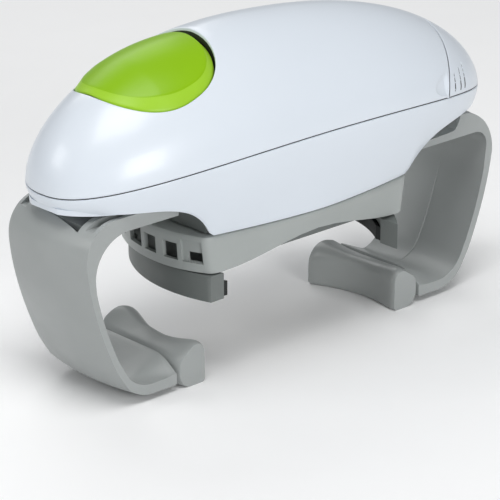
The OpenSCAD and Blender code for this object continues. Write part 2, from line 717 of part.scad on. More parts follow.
arm_z = 2.4;
pad_back = jar_r + pad_t - 1.6;
hook_r = pad_back - 1.8;
hook_front = pad_back + 0.25;
hook_t = arm_wall + 0.8;
wall_top = bar_top - 11.6;
// Reach of an arm's outer face at height z
function arm_out(z) = arm_reach - 0.0235 * pow(max(wall_top - z, 0), 1.66);
// Section of an arm; inset thickens its inner face, fading out toward the top
module arm_profile(bar_h, corner, bend, inset = 0) {
    w = arm_wall;
    top = bar_top;
    low = arm_z + 12;
    knee = arm_out(low) - 7.2;
    inner_top = wall_top - 12;
    polygon(rounded(concat(
        [[bar_step - 6, top, 0], [arm_reach + 0.05, top, bend]],
        [for (z = [min(wall_top - 2, top - bend - 0.6) : -3 : low]) [arm_out(z), z, 0]],
        [[knee, arm_z, 14], [hook_r, arm_z, 0], [hook_r, arm_z + hook_t, 0],
            [knee - 0.7 - inset, arm_z + hook_t, 13]],
        [for (i = [0 : 12]) let (z = low + 1.5 + i * (inner_top - 1.5 - low) / 12)
            [arm_out(z) - w * 1.1 - inset * min((inner_top - z) / 16, 1), z, 0]],
        [[arm_reach - w, top - bar_h, corner], [bar_step - 6, top - bar_h, 0]])));
}

// Rounded step that rises from the hook to the back of the pad, lower at the near edge
module arm_wedge() {
    steps = 12;
    skin([for (i = [0 : steps])
        let (y = half_arm * (2 * i / steps - 1), lift = 5 * sin(90 * min(max((half_arm - y) / 11, 0), 1)),
            z = arm_z + 4.6 + lift, l = 3 + 2.1 * lift)
        [for (p = rounded([[hook_front, arm_z + 1.2, 0], [hook_front + l, arm_z + 1.2, 0],
            [hook_front + l, arm_z + hook_t - 0.1, 2], [hook_front, z, 1]], 5)) [p[0], -y, p[1]]]]);
}

module arm_body(bar_h, corner, bend, notch = 0) {
    z = bar_top - bar_h;
    inner_w = inner_half - 2.2;
    rib_in = 13;
    rib_out = rib_in + 2.5;
    rim_in = half_arm - 1.5;
    difference() {
        union() {
            intersection() {
                rotate([0, 0, -24]) rotate_extrude(angle = 48, $fn = 144) arm_profile(bar_h, corner, bend);
                union() {
                    translate([bar_step, -half_arm, 20]) cube([60, arm_w, 80]);
                    translate([hook_r - 15, -half_arm, 0]) cube([75, arm_w, 25]);
                }
            }
            intersection() {
                rotate([0, 0, -24]) rotate_extrude(angle = 24, $fn = 144) arm_profile(bar_h, corner, bend, 0.8);
                translate([hook_front, -half_arm, 0]) cube([75, half_arm - 3, wall_top - 12]);
            }
            translate([bar_in, -inner_half, z]) cube([bar_step - bar_in + 0.5, 2 * inner_half, bar_h]);
            mirror([0, 1, 0]) arm_wedge();
        }
        translate([hook_r - 20, -half_arm - 1, arm_z + arm_wall])
            cube([hook_front - hook_r + 20, arm_w + 2, hook_t]);
        translate([bar_in - 1, -inner_w, z + bar_floor]) cube([bar_step - bar_in + 4, 2 * inner_w, 20]);
        translate([0, 0, z + bar_floor]) linear_extrude(20)
            polygon([[bar_step + 2, -rib_in], [91.4, -rib_in], [92.3, 0], [93.9, rib_in], [bar_step + 2, rib_in]]);
        translate([0, 0, bar_top - 5.4]) linear_extrude(20)
            polygon([[90.2, -rib_in], [91.4, -rib_in], [92.3, 0], [93.9, rib_in], [90.2, rib_in]]);
        for (y = [-rim_in, rib_out]) translate([bar_step + 2, y, bar_top - 2.7]) cube([50, rim_in - rib_out, 20]);
        if (notch > 0) translate([0, half_arm + 1, 0]) rotate([90, 0, 0]) linear_extrude(half_arm + 1 - rib_out)
            polygon(rounded([[bar_step + 4, z + 2.4, 0], [bar_step + notch - 2, z + 3, 2.5],
                [bar_step + notch, bar_top, 0], [bar_step + notch, bar_top + 5, 0], [bar_step + 4, bar_top + 5, 0]]));
    }
}

module arm_left() color("darkgray") rotate([0, 0, 180]) arm_body(left_bar_h, 14, 12);
module arm_right() color("darkgray") mirror([0, 1, 0]) arm_body(right_bar_h, 6, 17, 21.3);

module arm_rack(foot_z) {
    pitch_y = gear_m * arm_teeth / 2;
    back = inner_half - 2.2 - run_gap;
    translate([0, 0, rack_z]) rack(gear_m, -bar_step + 3, arm_open + 5, pitch_y, back, rack_h);
    translate([-bar_step + 3, pitch_y + dedendum * gear_m, foot_z])
        cube([bar_step - bar_in - 5, back - pitch_y - dedendum * gear_m, rack_z - foot_z + 0.1]);
}
module arm_rack_left() color("ivory") arm_rack(left_bar_z + bar_floor);
module arm_rack_right() color("ivory") rotate([0, 0, 180]) arm_rack(right_bar_z + bar_floor);

// Grip pad of the left arm: a bar hollowed to the jar, its crest higher toward the ends
pad_skew = 2;
module grip_pad() {
    steps = 20;
    difference() {
        skin([for (i = [0 : steps])
            let (u = 2 * i / steps - 1, y = half_arm * u, d = 1.3 * pow(abs(u), 12),
                front = sqrt(jar_r * jar_r - y * y) - pad_skew * u + 0.4 + d,
                rise = u > 0.3 ? 4.2 * pow((u - 0.3) / 0.7, 1.4) : u < -0.2 ? 3.6 * pow((-u - 0.2) / 0.8, 1.4) : 0,
                top = pad_h + 0.9 + rise - d, back_top = pad_h - 2.3 + 2 * pow(max(u, 0), 7) - 1.2 * pow(max(-u, 0), 4),
                back = pad_back - d)
            [for (p = rounded([[-front, 0, 1.5], [-front - 0.3, top, 3.5 + 4 * pow(max(u, 0), 3)],
                [-back, back_top, 4], [-back, 0, 5]], 5)) [p[0], y, p[1]]]]);
        difference() {
            translate([-hook_r - 30, -half_arm - 1, arm_z]) cube([45, arm_w + 2, arm_wall]);
            translate([0, 0, -1]) cylinder(r = hook_r - run_gap, h = 20, $fn = 144);
        }
    }
}
module grip_pad_left() color("darkgray") grip_pad();
module grip_pad_right() color("darkgray") mirror([1, 0, 0]) grip_pad();

// Gripper -----------------------------------------------------------------------
// Plan outline of the gripper at share v of the way down, drawn in by t
grip_corner = 6;
function grip_side(x, v) =
    (neck_w - (neck_w - neck_end_w + 0.2) * pow(abs(x) / neck_l, 1.6)) - v * (2.4 * (1 - abs(x) / neck_l));
function grip_ring(v, t = 0, z = undef) =
    let (
        l = neck_l - 4.6 * v - t,
        tip = grip_l - 1.5 * v - t,
        side = [for (i = [-8 : 8]) let (x = l * i / 8) [x, grip_side(x, v) - t]],
        w = side[16][1],
        end = [for (q = [12, 30, 50, 70, 90, 110, 130, 150, 168])
            [l + (tip - l) * pow(sin(q), 0.55), w * spow(cos(q), 0.75)]],
        half = concat(side, end),
        loop = concat(half, [for (p = half) [-p[0], -p[1]]])
    )
    [for (i = [len(loop) - 1 : -1 : 0]) let (p = loop[i])
        [p[0], p[1], is_undef(z) ? grip_z + (abs(p[0]) < neck_l - 6 ? grip_arch * pow(cos(90 * p[0] / (neck_l - 2)), 2) : 0) : z]];

window_pitch = 9.8;
module gripper_cover() color("gray") {
    difference() {
        skin([grip_ring(1), grip_ring(0.5, 0, grip_z + grip_h * 0.5), grip_ring(0, 0, grip_top)]);
        skin([grip_ring(1, grip_wall, grip_z - 3), grip_ring(0, grip_wall, grip_top - grip_wall)]);
        translate([0, 0, grip_top - 4]) cylinder(r = spindle_r + run_gap, h = 8, $fn = round_fn);
        for (s = [-1, 1]) {
            for (i = [-1 : 1]) translate([s * grip_l - 3, window_pitch * i - 3.1, grip_z + 3.2]) cube([8, 6.2, 6]);
            for (i = [-2, 2]) translate([s * (grip_l - 3) - 4, window_pitch * i - 2.7, grip_z + 3.6]) cube([8, 5.4, 3.4]);
        }
    }
}

rail_in = 17.3;
rail_out = rail_in + 3.3;
frame_l = grip_l - 8.5;
pinion_h = 4.1;
frame_z = grip_top - grip_wall - 2.2;
pinion_z = frame_z - run_gap - pinion_h;
carriage_top = pinion_z - run_gap;
carriage_z = grip_z + run_gap;
tongue = 1.5;
tongue_z = carriage_z + 1.8;
module gripper_frame() color("slategray") {
    difference() {
        union() {
            translate([-frame_l, -rail_out, frame_z])
                cube([2 * frame_l, 2 * rail_out, grip_top - grip_wall - frame_z]);
            translate([0, 0, frame_z]) cylinder(r = spindle_r, h = floor_top + 2.6 - frame_z, $fn = round_fn);
            for (s = [-1, 1]) translate([-frame_l, s > 0 ? rail_in : -rail_out, carriage_z])
                cube([2 * frame_l, rail_out - rail_in, frame_z - carriage_z + 0.5]);
        }
        for (s = [-1, 1]) translate([-frame_l - 1, s > 0 ? rail_in - 1 : -rail_in - tongue, tongue_z - run_gap])
            cube([2 * frame_l + 2, 1 + tongue, carriage_top - tongue_z + run_gap]);
        translate([0, 0, frame_z - 1]) cylinder(r = shaft_r + shaft_gap, h = 20, $fn = round_fn);
        translate([0, 0, floor_top + run_gap]) difference() {
            cylinder(r = spindle_r + 1, h = 1.2, $fn = round_fn);
            cylinder(r = spindle_r - clip_groove, h = 1.2, $fn = round_fn);
        }
    }
}

// Open ring that snaps into the spindle's groove, over the housing's floor
module gripper_clip() color("silver") {
    translate([0, 0, floor_top + run_gap + 0.1]) difference() {
        cylinder(r = spindle_r + 1.6, h = 1, $fn = round_fn);
        translate([0, 0, -1]) cylinder(r = spindle_r - clip_groove, h = 3, $fn = round_fn);
        translate([0, -4, -1]) cube([20, 8, 3]);
    }
}

module lid_pinion() color("goldenrod") {
    translate([0, 0, pinion_z]) gear(gear_m, lid_teeth, pinion_h, 0, shaft_r);
}

// Left lid jaw: a curved plate under a carriage that slides in the gripper's rails
jaw_c = [4.7, -6.5];
jaw_r = 55;
jaw_low = -25;
carriage_x = frame_l - 0.5;
carriage_l = 12;
module jaw_sector(r_out, r_in, h) {
    difference() {
        translate([jaw_c[0], jaw_c[1], 0]) difference() {
            cylinder(r = r_out, h = h, $fn = 144);
            translate([0, 0, -1]) cylinder(r = r_in, h = h + 2, $fn = 144);
        }
        translate([-34.5, -100, -1]) cube([200, 200, h + 2]);
        translate([-100, jaw_low - 100, -1]) cube([200, 100, h + 2]);
    }
}
module lid_jaw() {
    difference() {
        union() {
            translate([0, 0, jaw_z]) jaw_sector(jaw_r, jaw_r - jaw_t, jaw_h);
            translate([-carriage_x, -15, jaw_top - 3]) cube([9.5, 30, carriage_z - jaw_top + 3.5]);
        }
    }
    translate([-carriage_x, -rail_in + run_gap, carriage_z])
        cube([carriage_l, 2 * (rail_in - run_gap), carriage_top - carriage_z]);
    translate([-carriage_x, -rail_in - tongue + run_gap, tongue_z])
        cube([carriage_l, 2 * (rail_in + tongue - run_gap), carriage_top - run_gap - tongue_z]);
}
module lid_jaw_left() color("dimgray") lid_jaw();
module lid_jaw_right() color("dimgray") rotate([0, 0, 180]) lid_jaw();

lining_t = 1.4;
module jaw_lining() {
    translate([0, 0, jaw_z + 1]) jaw_sector(jaw_r - jaw_t, jaw_r - jaw_t - lining_t, jaw_h - 4.2);
}
module jaw_lining_left() color("black") jaw_lining();
module jaw_lining_right() color("black") rotate([0, 0, 180]) jaw_lining();

module jaw_rack() {
    mirror([0, 1, 0]) translate([0, 0, pinion_z])
        rack(gear_m, -42, arm_open + 4, gear_m * lid_teeth / 2, 11, pinion_h);
    translate([-42, -11, carriage_top]) cube([9, 3.8, run_gap + 0.1]);
}
module jaw_rack_left() color("ivory") jaw_rack();
module jaw_rack_right() color("ivory") rotate([0, 0, 180]) jaw_rack();

upper_shell();
lower_shell();
battery_cover();
cover_contact();
start_button();
button_spring();
button_guide();
micro_switch();
switch_plunger();
battery_tray();
battery_cells();
battery_contacts();
chassis();
spindle_bush();
gearbox_lower_plate();
gearbox_upper_plate();
gearbox_screws();
case_screws();
motor();
motor_pinion();
reduction_gear();
gear_pins();
sun_gear();
planet_gear_1();
planet_gear_2();
planet_gear_3();
planet_carrier();
lid_pinion();
ring_gear();
arm_pinion();
arm_left();
arm_right();
arm_rack_left();
arm_rack_right();
grip_pad_left();
grip_pad_right();
gripper_cover();
gripper_frame();
gripper_clip();
lid_jaw_left();
lid_jaw_right();
jaw_rack_left();
jaw_rack_right();
jaw_lining_left();
jaw_lining_right();
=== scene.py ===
import json
import math
from collections import namedtuple

import bmesh
import bpy
from mathutils import Matrix, Vector


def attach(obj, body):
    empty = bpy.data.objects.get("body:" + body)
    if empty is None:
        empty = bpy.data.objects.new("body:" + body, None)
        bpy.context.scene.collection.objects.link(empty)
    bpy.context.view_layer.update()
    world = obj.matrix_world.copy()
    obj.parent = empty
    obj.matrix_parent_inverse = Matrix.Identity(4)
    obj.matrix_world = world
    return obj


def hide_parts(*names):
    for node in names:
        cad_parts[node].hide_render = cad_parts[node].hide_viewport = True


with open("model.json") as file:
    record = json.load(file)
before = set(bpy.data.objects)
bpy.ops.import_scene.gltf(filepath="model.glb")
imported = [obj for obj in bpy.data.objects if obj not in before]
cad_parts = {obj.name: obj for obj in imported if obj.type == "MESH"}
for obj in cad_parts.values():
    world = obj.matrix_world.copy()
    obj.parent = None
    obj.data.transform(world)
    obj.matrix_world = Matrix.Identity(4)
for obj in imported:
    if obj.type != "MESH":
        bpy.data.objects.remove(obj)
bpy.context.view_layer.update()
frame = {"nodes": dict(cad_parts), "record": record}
MM = 0.001

# Housing sizes in millimetres: the part's own, apart from those noted as the scene's ----
BODY_L, BODY_W = 98.0, 35.2                             # half length and half width of the housing
DOME_H, DOME_LEAN = 34.8, 0.17                          # height of the dome, and its lean to the button
TAIL_POWER, CROWN_POWER = 2.53, 1.8                     # roundness of the dome along and across
NOSE_POWER = 2.2                                        # the scene's rounder button end
TIP_Z, RISE, PARTING_POWER = 74.4, 8.4, 2.12            # parting line: height at the tips, and its arch
OUTLINE_POWER = 2.4                                     # roundness of the outline seen from above
WALL, SEAM = 2.4, 0.4
NECK_Z, NECK_L, NECK_W, NECK_END_W = 53.7, 47.0, 30.0, 24.4
END_EDGE, EDGE_RUN = 15.5, 9                            # arch from the neck up to the ends
END_SHARE, SIDE_RUN, SIDE_POWER = 0.955, 16, 1.6        # how the lower rim is drawn in
TIP_LIFT, TIP_LIFT_X, TIP_LIFT_L = 1.5, 80, 18          # the scene's turned-up rim at the button end
EGG_X, EGG_HEEL, EGG_GAP, EGG_PROUD = -53.0, 19.4, 0.5, 1.8
EGG_W, EGG_NOSE, EGG_POWER = 22.2, 24.0, 2.6            # the scene's closer fit of the button's outline
EGG_DIP, EGG_DIP_L = 2.7, 17                            # the scene's fall of its top toward the heel
COVER_X, COVER_R = 74.0, 42.3                           # arc of the battery cover's split
FLOOR_Z, FLOOR_T, FLOOR_X = 69.1, 1.8, 52.0             # underside of the ends, from FLOOR_X out


# Camera ------------------------------------------------------------------------
CAMERA_AT = Vector((-602.75, -643.84, 366.86))
CAMERA_RIGHT = Vector((0.73356, -0.67963, 0.0))
CAMERA_UP = Vector((0.24252, 0.26176, 0.93416))


def add_camera():
    """Puts the camera where the photograph was taken from."""
    data = bpy.data.cameras.new("camera")
    data.sensor_width = 36.0
    data.lens = 193.5
    data.clip_start, data.clip_end = 0.05, 50.0
    camera = bpy.data.objects.new("camera", data)
    bpy.context.scene.collection.objects.link(camera)
    back = CAMERA_RIGHT.cross(CAMERA_UP)
    turn = Matrix((CAMERA_RIGHT, CAMERA_UP, back)).transposed().to_4x4()
    camera.matrix_world = Matrix.Translation(CAMERA_AT * MM) @ turn
    bpy.context.scene.camera = camera


add_camera()


# Materials ---------------------------------------------------------------------
def srgb(r, g, b):
    """Linear colour from 0-255 sRGB values."""
    def linear(c):
        c /= 255
        return c / 12.92 if c <= 0.04045 else ((c + 0.055) / 1.055) ** 2.4

    return (linear(r), linear(g), linear(b), 1.0)


def surface_group():
    """Shared surface maps: a fine grain as a normal, and two slow noises."""
    group = bpy.data.node_groups.new("moulded_surface", "ShaderNodeTree")
    for name, kind, way in (
        ("Scale", "NodeSocketFloat", "INPUT"),
        ("Depth", "NodeSocketFloat", "INPUT"),
        ("Mottle", "NodeSocketFloat", "OUTPUT"),
        ("Smudge", "NodeSocketFloat", "OUTPUT"),
        ("Normal", "NodeSocketVector", "OUTPUT"),
    ):
        group.interface.new_socket(name=name, in_out=way, socket_type=kind)
    nodes, links = group.nodes, group.links
    into, out = nodes.new("NodeGroupInput"), nodes.new("NodeGroupOutput")
    where = nodes.new("ShaderNodeTexCoord")
    grain = nodes.new("ShaderNodeTexNoise")
    grain.inputs["Detail"].default_value = 3.0
    grain.inputs["Roughness"].default_value = 0.55
    links.new(where.outputs["Object"], grain.inputs["Vector"])
    links.new(into.outputs["Scale"], grain.inputs["Scale"])
    bump = nodes.new("ShaderNodeBump")
    links.new(grain.outputs["Fac"], bump.inputs["Height"])
    links.new(into.outputs["Depth"], bump.inputs["Distance"])
    links.new(bump.outputs["Normal"], out.inputs["Normal"])
    for name, scale, low, high in (("Mottle", 38.0, 0.35, 0.65), ("Smudge", 110.0, 0.3, 0.7)):
        noise = nodes.new("ShaderNodeTexNoise")
        noise.inputs["Scale"].default_value = scale
        noise.inputs["Detail"].default_value = 4.0
        spread = nodes.new("ShaderNodeMapRange")
        spread.inputs["From Min"].default_value = low
        spread.inputs["From Max"].default_value = high
        links.new(where.outputs["Object"], noise.inputs["Vector"])
        links.new(noise.outputs["Fac"], spread.inputs["Value"])
        links.new(spread.outputs["Result"], out.inputs[name])
    return group


SURFACE = surface_group()

# Grains: spread of the roughness, scale, and depth in metres
POLISHED = (0.01, 700, 0.000002)
SATIN = (0.05, 1500, 0.00003)
PLAIN = (0.05, 900, 0.00004)
RUBBERY = (0.06, 2200, 0.00008)
MILLED = (0.06, 2600, 0.00002)
DRAWN = (0.06, 1800, 0.00002)
CUT = (0.06, 2400, 0.00002)
WAXY = (0.05, 1500, 0.00002)
WRAPPED = (0.05, 1200, 0.00001)
PAPER = (0.02, 60, 0.00001)


def material(name, light, dark, rough, grain, coat=0.0, metal=0.0, specular=0.5):
    """Procedural finish: two close tones, uneven gloss and a moulded or milled grain."""
    spread, scale, depth = grain
    made = bpy.data.materials.new(name)
    made.use_nodes = True
    nodes, links = made.node_tree.nodes, made.node_tree.links
    shader = nodes["Principled BSDF"]
    shader.inputs["Metallic"].default_value = metal
    shader.inputs["Specular IOR Level"].default_value = specular
    shader.inputs["Coat Weight"].default_value = coat
    shader.inputs["Coat Roughness"].default_value = 0.08
    surface = nodes.new("ShaderNodeGroup")
    surface.node_tree = SURFACE
    surface.inputs["Scale"].default_value = scale
    surface.inputs["Depth"].default_value = depth
    tone = nodes.new("ShaderNodeMix")
    tone.data_type = "RGBA"
    tone.inputs[6].default_value = srgb(*dark)
    tone.inputs[7].default_value = srgb(*light)
    links.new(surface.outputs["Mottle"], tone.inputs[0])
    links.new(tone.outputs[2], shader.inputs["Base Color"])
    gloss = nodes.new("ShaderNodeMapRange")
    gloss.inputs["To Min"].default_value = rough - spread
    gloss.inputs["To Max"].default_value = rough + spread
    links.new(surface.outputs["Smudge"], gloss.inputs["Value"])
    links.new(gloss.outputs["Result"], shader.inputs["Roughness"])
    links.new(surface.outputs["Normal"], shader.inputs["Normal"])
    return made


# Name, light tone, dark tone, roughness, grain, and what else differs
FINISHES = (
    ("white_shell", (221, 228, 236), (220, 227, 235), 0.30, POLISHED, {"coat": 0.15}),
    ("green_button", (140, 188, 16), (137, 185, 13), 0.34, POLISHED, {"specular": 0.3}),
    # paler green of the button's rim: a painted highlight on the same plastic as green_button
    ("green_edge", (160, 206, 52), (157, 203, 49), 0.34, POLISHED, {"specular": 0.3}),
    ("grey_arm", (162, 166, 165), (157, 161, 160), 0.36, SATIN, {}),
    ("grey_gripper", (166, 171, 169), (161, 166, 164), 0.40, SATIN, {}),
    # dark_frame: the jaws' grey plastic toned darker as painted shade, for the shade they sit in
    ("dark_frame", (112, 117, 115), (106, 111, 109), 0.50, SATIN, {}),
    ("black_rubber", (44, 46, 46), (36, 38, 38), 0.72, RUBBERY, {"specular": 0.3}),
    ("black_switch", (38, 38, 40), (32, 32, 34), 0.50, PLAIN, {}),
    ("red_plunger", (176, 34, 32), (160, 28, 26), 0.42, PLAIN, {}),
    ("steel", (200, 202, 204), (180, 182, 184), 0.30, MILLED, {"metal": 1.0}),
    ("motor_can", (186, 188, 190), (170, 172, 174), 0.34, DRAWN, {"metal": 1.0}),
    ("brass", (204, 168, 92), (188, 150, 76), 0.32, CUT, {"metal": 1.0}),
    ("nylon", (236, 232, 219), (228, 223, 208), 0.42, WAXY, {}),
    ("grey_plate", (200, 202, 202), (190, 193, 193), 0.48, PLAIN, {}),
    ("copper_cell", (204, 158, 80), (188, 140, 64), 0.28, WRAPPED, {"metal": 0.7}),
)
LOOKS = {name: material(name, *tones, **gloss) for name, *tones, gloss in FINISHES}
SLOTS = {"green_edge": "green_button"}                  # the button's rim is the same plastic; its paler green is a painted highlight


# Housing form ------------------------------------------------------------------
def clamp(v):
    """Keeps a value between 0 and 1."""
    return min(max(v, 0), 1)


def spow(v, e):
    """Power that keeps the sign."""
    return math.copysign(abs(v) ** e, v)


def oval(x, half, e):
    """Height, from 1 to 0, of a rounded hump of a half length at a place."""
    return max(1 - min(abs(x) / half, 1) ** e, 0) ** (1 / e)


def parting_z(x):
    """Height of the arched parting line."""
    return TIP_Z + RISE * (1 - min(abs(x) / BODY_L, 1) ** PARTING_POWER)


def half_w(x):
    """Half width of the outline."""
    return BODY_W * oval(x, BODY_L, OUTLINE_POWER)


def dome_z(x, y):
    """Height of the dome's outer face."""
    w = half_w(x)
    if w < 0.01:
        return parting_z(x)
    h = DOME_H * oval(x, BODY_L, NOSE_POWER if x < 0 else TAIL_POWER) * (1 - DOME_LEAN * x / BODY_L)
    return parting_z(x) + h * oval(min(abs(y), w), w, CROWN_POWER)


def dome_normal(x, y):
    """Outward direction of the dome's face."""
    step = 0.01
    slope_x = (dome_z(x + step, y) - dome_z(x - step, y)) / (2 * step)
    slope_y = (dome_z(x, y + step) - dome_z(x, y - step)) / (2 * step)
    return Vector((-slope_x, -slope_y, 1)).normalized()


def edge_z(x):
    """Height of the lower shell's rim, turned up a little at the button end."""
    t = clamp((-x - TIP_LIFT_X) / TIP_LIFT_L)
    lift = TIP_LIFT * t * t * (3 - 2 * t)
    return NECK_Z + END_EDGE * (1 - math.exp(-max(abs(x) - NECK_L, 0) / EDGE_RUN)) + lift


def edge_w(x):
    """Half width of the lower shell's rim."""
    reach = abs(x)
    if reach <= NECK_L:
        return NECK_W - (NECK_W - NECK_END_W) * (reach / NECK_L) ** SIDE_POWER
    pinch = END_SHARE - NECK_END_W / half_w(NECK_L)
    return half_w(x) * (END_SHARE - pinch * math.exp(-(reach - NECK_L) / SIDE_RUN))


def side_w(x, z):
    """Half width of the lower shell at a height."""
    v = clamp((parting_z(x) - z) / (parting_z(x) - edge_z(x)))
    return half_w(x) - (half_w(x) - edge_w(x)) * v ** SIDE_POWER


def outline_point(angle):
    """Place on the outline of the housing seen from above."""
    return (BODY_L * spow(math.cos(angle), 2 / OUTLINE_POWER),
            BODY_W * spow(math.sin(angle), 2 / OUTLINE_POWER))


def outline_points(x_end, steps):
    """Points of the outline from (x_end, +y) round the -X tip to (x_end, -y)."""
    start = math.acos(spow(x_end / BODY_L, OUTLINE_POWER / 2))
    return [outline_point(start + (2 * math.pi - 2 * start) * i / steps) for i in range(steps + 1)]


def drawn_in(x, y, inward):
    """A place moved toward the middle of the housing."""
    k = 1 - inward / math.hypot(x, y)
    return x * k, y * k


def split_corner():
    """Where the battery cover's split meets the outline of the housing."""
    low, high = 30.0, 85.0
    for _ in range(60):
        x = (low + high) / 2
        arc_y = math.sqrt(max(COVER_R ** 2 - (x - COVER_X + COVER_R) ** 2, 0))
        low, high = (x, high) if arc_y > half_w(x) else (low, x)
    return low, half_w(low)


def split_arc(steps):
    """Points of the split between shell and battery cover, from -y to +y."""
    top = math.asin(split_corner()[1] / COVER_R)
    angles = [top * (2 * i / steps - 1) for i in range(steps + 1)]
    return [(COVER_X - COVER_R + COVER_R * math.cos(t), COVER_R * math.sin(t)) for t in angles]


def egg_reach(angle, grow):
    """Distance from the button's middle to its outline, grown by a gap."""
    c, s = math.cos(angle), math.sin(angle)
    side = abs(s) / (EGG_W + grow)
    if c < 0:
        return 1 / math.hypot(c / (EGG_NOSE + grow), side)
    return (abs(c / (EGG_HEEL + grow)) ** EGG_POWER + side ** EGG_POWER) ** (-1 / EGG_POWER)


def from_egg(angle, r):
    """Place at a distance from the button's middle."""
    return EGG_X + r * math.cos(angle), r * math.sin(angle)


# Mesh tools --------------------------------------------------------------------
def add_line(mesh, points):
    """Vertices at points given in millimetres."""
    return [mesh.verts.new(Vector(point) * MM) for point in points]


def skin(mesh, lines, closed):
    """Faces between neighbouring lines of vertices."""
    for low, high in zip(lines, lines[1:]):
        n = len(low)
        for k in range(n if closed else n - 1):
            mesh.faces.new((low[k], low[(k + 1) % n], high[(k + 1) % n], high[k]))


def cap_ends(mesh, lines):
    """Closes both ends of a row of sections."""
    mesh.faces.new(lines[0])
    mesh.faces.new(list(reversed(lines[-1])))


def clean(mesh):
    """Joins coincident points and turns every face outward."""
    bmesh.ops.remove_doubles(mesh, verts=mesh.verts, dist=2e-6)
    bmesh.ops.dissolve_degenerate(mesh, edges=mesh.edges, dist=2e-6)
    bmesh.ops.recalc_face_normals(mesh, faces=mesh.faces)


def soften(mesh, outer, weight=0.3):
    """Marks sharp edges for rounding: fully where both ends are on the outer border."""
    layer = mesh.edges.layers.float.new("bevel_weight_edge")
    for edge in mesh.edges:
        if len(edge.link_faces) == 2 and edge.calc_face_angle() > math.radians(42):
            edge[layer] = 1.0 if outer(edge.verts[0]) and outer(edge.verts[1]) else weight


def fillet(made, width, segments=3):
    """Rounds the marked edges, the fully marked ones by this many millimetres."""
    bevel = made.modifiers.new("edge", "BEVEL")
    bevel.limit_method = "WEIGHT"
    bevel.offset_type = "OFFSET"
    bevel.width = width * MM
    bevel.segments = segments
    bevel.use_clamp_overlap = True
    bevel.harden_normals = True


def finish_piece(name, mesh, look, body, nodes=(), sharp=50.0):
    """Turns a bmesh into an object that rides on a body and stands for CAD nodes."""
    for face in mesh.faces:
        face.smooth = True
    data = bpy.data.meshes.new(name)
    mesh.to_mesh(data)
    mesh.free()
    data.set_sharp_from_angle(angle=math.radians(sharp))
    data.materials.append(LOOKS[look])
    made = bpy.data.objects.new(name, data)
    bpy.context.scene.collection.objects.link(made)
    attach(made, body)
    SLOTS.get(look, look)
    if nodes:
        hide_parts(*nodes)
    return made


def piece(name, grids, look, body, nodes=(), sharp=50.0, closed=True, carve=None):
    """Makes one piece from grids of points in millimetres, each closed across or not."""
    mesh = bmesh.new()
    for rows in grids:
        skin(mesh, [add_line(mesh, row) for row in rows], closed)
    bmesh.ops.remove_doubles(mesh, verts=mesh.verts, dist=1e-6)
    bmesh.ops.dissolve_degenerate(mesh, edges=mesh.edges, dist=1e-6)
    if carve:
        carve(mesh)
    return finish_piece(name, mesh, look, body, nodes, sharp)


# Grooves and dimples -----------------------------------------------------------
GROOVE_HALF, GROOVE_DEPTH = 0.42, 1.2
# half width and depth of the dark painted-shade strips in the grooves
SHADOW_STRIP_HALF, SHADOW_STRIP_DEPTH = 0.34, 0.15
GROOVE_ENDS = (
    ((67.4, 26.3, 86.9), (66.2, 28.5, 80.7)),
    ((71.8, 24.1, 87.6), (70.3, 27.3, 80.1)),
    ((75.2, 22.5, 87.7), (73.7, 26.1, 79.9)),
)
DIMPLE_X, DIMPLE_Z, DIMPLE_L, DIMPLE_H, DIMPLE_DEPTH = 62.6, 84.4, 8.9, 3.7, 1.1
SPLIT_X, SPLIT_EASE = 62.3, 1.6                         # the dimple runs out just before the split


def cover_grooves():
    """Ends, outward direction and cross direction of every grip groove on the battery cover."""
    for way in (-1, 1):
        for top, bottom in GROOVE_ENDS:
            start, stop = (Vector((x, way * y, z)) for x, y, z in (top, bottom))
            outward = dome_normal(*((start + stop) / 2).xy)
            yield start, stop, outward, (stop - start).cross(outward).normalized()


def cut_grooves(mesh):
    """Presses thin straight grip grooves into both sides of the battery cover."""
    for start, stop, outward, across in cover_grooves():
        middle = (start + stop) / 2
        reach = (stop - start).length / 2
        for offset in (-GROOVE_HALF, GROOVE_HALF, 0.0):
            geom = set()
            for face in mesh.faces:
                if (face.calc_center_median() / MM - middle).length < reach + 2.5:
                    geom.add(face)
                    geom.update(face.edges)
                    geom.update(face.verts)
            bmesh.ops.bisect_plane(mesh, geom=list(geom), dist=1e-8,
                                   plane_co=(middle + across * offset) * MM, plane_no=across)
        for vert in mesh.verts:
            gap = vert.co / MM - middle
            if abs(gap.dot(across)) < 0.005 and gap.length < reach and gap.dot(outward) > -0.9:
                vert.co -= outward * GROOVE_DEPTH * MM


def groove_shadow_strips():
    """Dark strips laid in the grip grooves as painted shade."""
    grids = []
    for start, stop, outward, across in cover_grooves():
        rows = []
        for side in (-SHADOW_STRIP_HALF, SHADOW_STRIP_HALF):
            row = []
            for k in range(9):
                spot = start.lerp(stop, k / 8)
                face_z = dome_z(spot.x, spot.y) + SEAM / 2
                rise = (face_z - spot.z) * outward.z
                row.append(spot + outward * (rise - SHADOW_STRIP_DEPTH) + across * side)
            rows.append(row)
        grids.append(rows)
    piece("grip_shadow_strips", grids, "black_switch", "cover", closed=False)


def press_dimples(mesh):
    """A half-oval thumb dimple in the shell on each side, beside the battery cover."""
    def place(vert):
        x, z = vert.co.x / MM, vert.co.z / MM
        return math.hypot((DIMPLE_X - x) / DIMPLE_L, (z - DIMPLE_Z) / DIMPLE_H), x

    faces = [f for f in mesh.faces if place(f.verts[0])[0] < 1.25 and f.verts[0].co.x > 0.05]
    edges = {e for f in faces for e in f.edges}
    bmesh.ops.subdivide_edges(mesh, edges=list(edges), cuts=3, use_grid_fill=True)
    for vert in mesh.verts:
        far, x = place(vert)
        if far < 1 and x > 50:
            y = vert.co.y / MM
            outward = dome_normal(min(x, 62.0), math.copysign(min(abs(y), half_w(x) - 2.0), y))
            ease = clamp((SPLIT_X - x) / SPLIT_EASE)
            vert.co -= outward * DIMPLE_DEPTH * ease * (1 - far * far) ** 0.6 * MM


